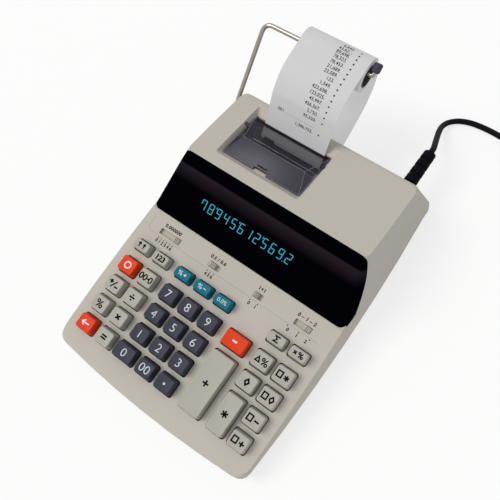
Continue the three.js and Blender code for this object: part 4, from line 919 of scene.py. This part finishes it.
# ---- Wire arm and its sleeve ----
# A nickel-plated wire is bent twice, slanted into its socket in the left wall, and turned up at the far
# end, where a grey sleeve keeps the roll on it.
wire_radius = 1.9 * mm
wire_foot = Vector((-86.6, 76, 34.5)) * mm
wire_shoulder = Vector((-86.6, 138.95, 102.9)) * mm
wire_corner = Vector((10.85, 138.95, 102.9)) * mm
wire_tip = wire_corner + Vector((0, 0.8, 0.6)) * 8.5 * mm
shoulder_bend, corner_bend, socket_gap = 8 * mm, 2.5 * mm, 0.3 * mm
wire_nickel = surface_of("wire_nickel", tone(150, 145, 137), 0.2, mottle=0.12, blotch=6,
                         grain=0.3, depth=0.006, metallic=1)


def bent(before, corner, after, reach, steps=12):
    """The points of a bend in a wire that starts and ends at reach from its corner."""
    start = corner + (before - corner).normalized() * reach
    end = corner + (after - corner).normalized() * reach
    return [start * (1 - t) ** 2 + corner * 2 * t * (1 - t) + end * t ** 2
            for t in (k / steps for k in range(steps + 1))]


wire_line = [wire_foot + (wire_shoulder - wire_foot).normalized() * socket_gap,
             *bent(wire_foot, wire_shoulder, wire_corner, shoulder_bend),
             *bent(wire_shoulder, wire_corner, wire_tip, corner_bend), wire_tip]
wire = dress(rod("wire_arm", wire_line, wire_radius, 5), wire_nickel, "case")
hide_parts("paper_wire")
sleeve_grey = surface_of("sleeve_grey", tone(66, 66, 74), 0.7, mottle=0.1, blotch=3)
moulded("roll_retainer", sleeve_grey, edge=0.5, segments=3)

# ---- Paper roll and tape ----
# A 57.5 mm calculator roll on a grey core. The tape comes off its back, goes in through the rear wall,
# round the feed roller and up past the tear edge, and its printed end lies over the top of the roll.
paper_wide, paper_x, paper_thick = 57.5, -22.4, 0.3
roll_y, roll_z = 140.85, 97.5
roll_radius, core_radius, bore_radius = 13.1, 9.1, 8
paper_white = surface_of("paper_white", tone(185, 184, 186), 0.85, mottle=0.02, blotch=6,
                         grain=0.25, depth=0.01)
tree = paper_white.node_tree
# Painted glow: the paper gives off a faint light of its own, standing for light coming through the thin
# paper, more where the tape stands free.
toward_back = wired(tree, "VectorMath", {0: wired(tree, "TexCoord", {}, "Object"), 1: (0, 0.77, -0.64)},
                    "Value", operation="DOT_PRODUCT")
painted_glow_through = wired(tree, "MapRange", {"Value": toward_back, "From Min": 50 * mm, "From Max": 66 * mm,
                                       "To Min": 0.14, "To Max": 0.3}, "Result")
feed(tree.nodes["Principled BSDF"], {"Emission Color": (1, 1, 1, 1), "Emission Strength": painted_glow_through})
# The wound roll takes a copy of the same finish, painted glow included.
paper_layers = paper_white.copy()
paper_layers.name = "paper_layers"
core_grey = surface_of("core_grey", tone(74, 74, 82), 0.7, mottle=0.1, blotch=3)


def ring_body(name, profile, steps=96):
    """A hollow piece turned about the roll's axis, from a closed profile of (radius, across) points."""
    form = bmesh.new()
    rings = [[form.verts.new(Vector((across, *point)) * mm)
              for point in arc(roll_y, roll_z, radius, 0, 360, steps)[:-1]] for radius, across in profile]
    skin(form, [*rings, rings[0]])
    piece = put(name, mesh_of(name, form, outward=True))
    soften(piece, 0, angle=30)
    return piece


left, right = paper_x - paper_wide / 2, paper_x + paper_wide / 2
layer_step, core_proud = 0.12, 0.3
side_steps = [core_radius + (roll_radius - core_radius) * k / 9 for k in range(10)]
right_face, left_face = ([(radius, side + (step if k % 2 else 0)) for k, radius in enumerate(side_steps)]
                         for side, step in ((right, -layer_step), (left, layer_step)))
roll = dress(ring_body("paper_roll_wound", right_face + left_face[::-1]), paper_layers, "roll")
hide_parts("paper_roll")
dress(ring_body("paper_core", [
    (bore_radius, left - core_proud), (bore_radius, right + core_proud), (core_radius, right + core_proud),
    (core_radius, left - core_proud)]), core_grey, "roll")


def through(points, steps):
    """A smooth line in side view through evenly timed points."""
    line = []
    for k in range(steps + 1):
        time = (len(points) - 1) * k / steps
        at = min(int(time), len(points) - 2)
        t = time - at
        p0, p1 = Vector(points[max(at - 1, 0)]), Vector(points[at])
        p2, p3 = Vector(points[at + 1]), Vector(points[min(at + 2, len(points) - 1)])
        v0, v1 = (p2 - p0) / 2, (p3 - p1) / 2
        line.append((2 * p1 - 2 * p2 + v0 + v1) * t ** 3 + (3 * p2 - 3 * p1 - 2 * v0 - v1) * t * t
                    + v0 * t + p1)
    return line


roller_y, roller_z, on_roller = 86.2, 49.5, 7.45
off_roll, over_reach = 13.55, 14
supply = [(roll_y + off_roll, roll_z), (158.7, 85.4), (156.8, 72), (151.1, 60), (140, 48), (118.3, 34.6),
          (111.4, 31.2), (105.6, 30.8), (100, 33)]


def leaves_roller(point, side):
    """The angle at which the tape touches the feed roller on its way to or from a point."""
    dy, dz = point[0] - roller_y, point[1] - roller_z
    return math.degrees(math.atan2(dz, dy) + side * math.acos(on_roller / math.hypot(dy, dz)))


slot_exit = (86.5, 62.8)
over_roll = arc(roll_y, roll_z, over_reach, 118, 10, 48)
climb = through([slot_exit, (94.9, 81.5), (100.2, 91.5), (112.4, 103.4), over_roll[0]], 64)
web = [*through(supply, 90),
       *arc(roller_y, roller_z, on_roller, leaves_roller(supply[-1], -1), leaves_roller(slot_exit, 1) - 360,
            48),
       *climb, *over_roll[1:]]
form = bmesh.new()
rows_made = []
for k, point in enumerate(web):
    ahead = (web[min(k + 1, len(web) - 1)] - web[max(k - 1, 0)]).normalized()
    out = Vector((-ahead.y, ahead.x)) * paper_thick / 2
    rows_made.append([form.verts.new(Vector((x, point.x + s * out.x, point.y + s * out.y)) * mm)
                      for x, s in ((left, 1), (right, 1), (right, -1), (left, -1))])
skin(form, rows_made, ends=True)
tape = put("paper_tape_printed", mesh_of("paper_tape_printed", form, outward=True))
soften(tape, 0, angle=50)
dress(tape, paper_white, "case")
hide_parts("paper_tape")

printed = climb + over_roll[1:]
print_lift = 0.04
travelled = [0]
for a, b in zip(printed, printed[1:]):
    travelled.append(travelled[-1] + (b - a).length)


def on_tape(across, along):
    """The place on the printed side of the tape, by how far it is past the slot."""
    k = max(i for i, length in enumerate(travelled[:-1]) if length <= max(along, 0))
    share = (along - travelled[k]) / (travelled[k + 1] - travelled[k])
    point = printed[k].lerp(printed[k + 1], share)
    ahead = (printed[k + 1] - printed[k]).normalized()
    out = Vector((-ahead.y, ahead.x)) * (paper_thick / 2 + print_lift)
    return Vector((across, point.x + out.x, point.y + out.y)) * mm


tape_ink = surface_of("tape_ink", tone(50, 44, 58), 0.8, mottle=0.25, blotch=0.6, grain=0.2)
ledger = [
    (12, "1,386,752."), (17, "001 . . . . . . . . . . . . . ."), (22.8, "95,320."), (28.2, "2,750."),
    (33, "456,367."), (37.7, "45,997."), (42.2, "123,025."), (46.7, "423,698."), (51.2, "1,549."),
    (55.8, "123."), (60.3, "23,589."), (64.4, "21,689."), (68.7, "78,453."), (73, "78,323."),
    (76.8, "89,698."), (80.4, "43,621."), (84.2, "6,842."),
]
figures_end, figures_high = -9.6, 2.65
mark = ("■", -3.2, 1.1)
unmarked_row = 1
for k, (along, figures) in enumerate(ledger):
    for part, (text, x, high) in enumerate(((figures, figures_end, figures_high), mark)):
        if part and k == unmarked_row:
            continue
        line = lettering(f"tape_row_{k}_{part}", text, high, 0, 0, Matrix.Identity(4), tape_ink, "case",
                         middle=False, spread=1.02, weight=0.06)
        for corner in line.data.vertices:
            corner.co = on_tape(x + corner.co.x / mm, along + corner.co.y / mm)
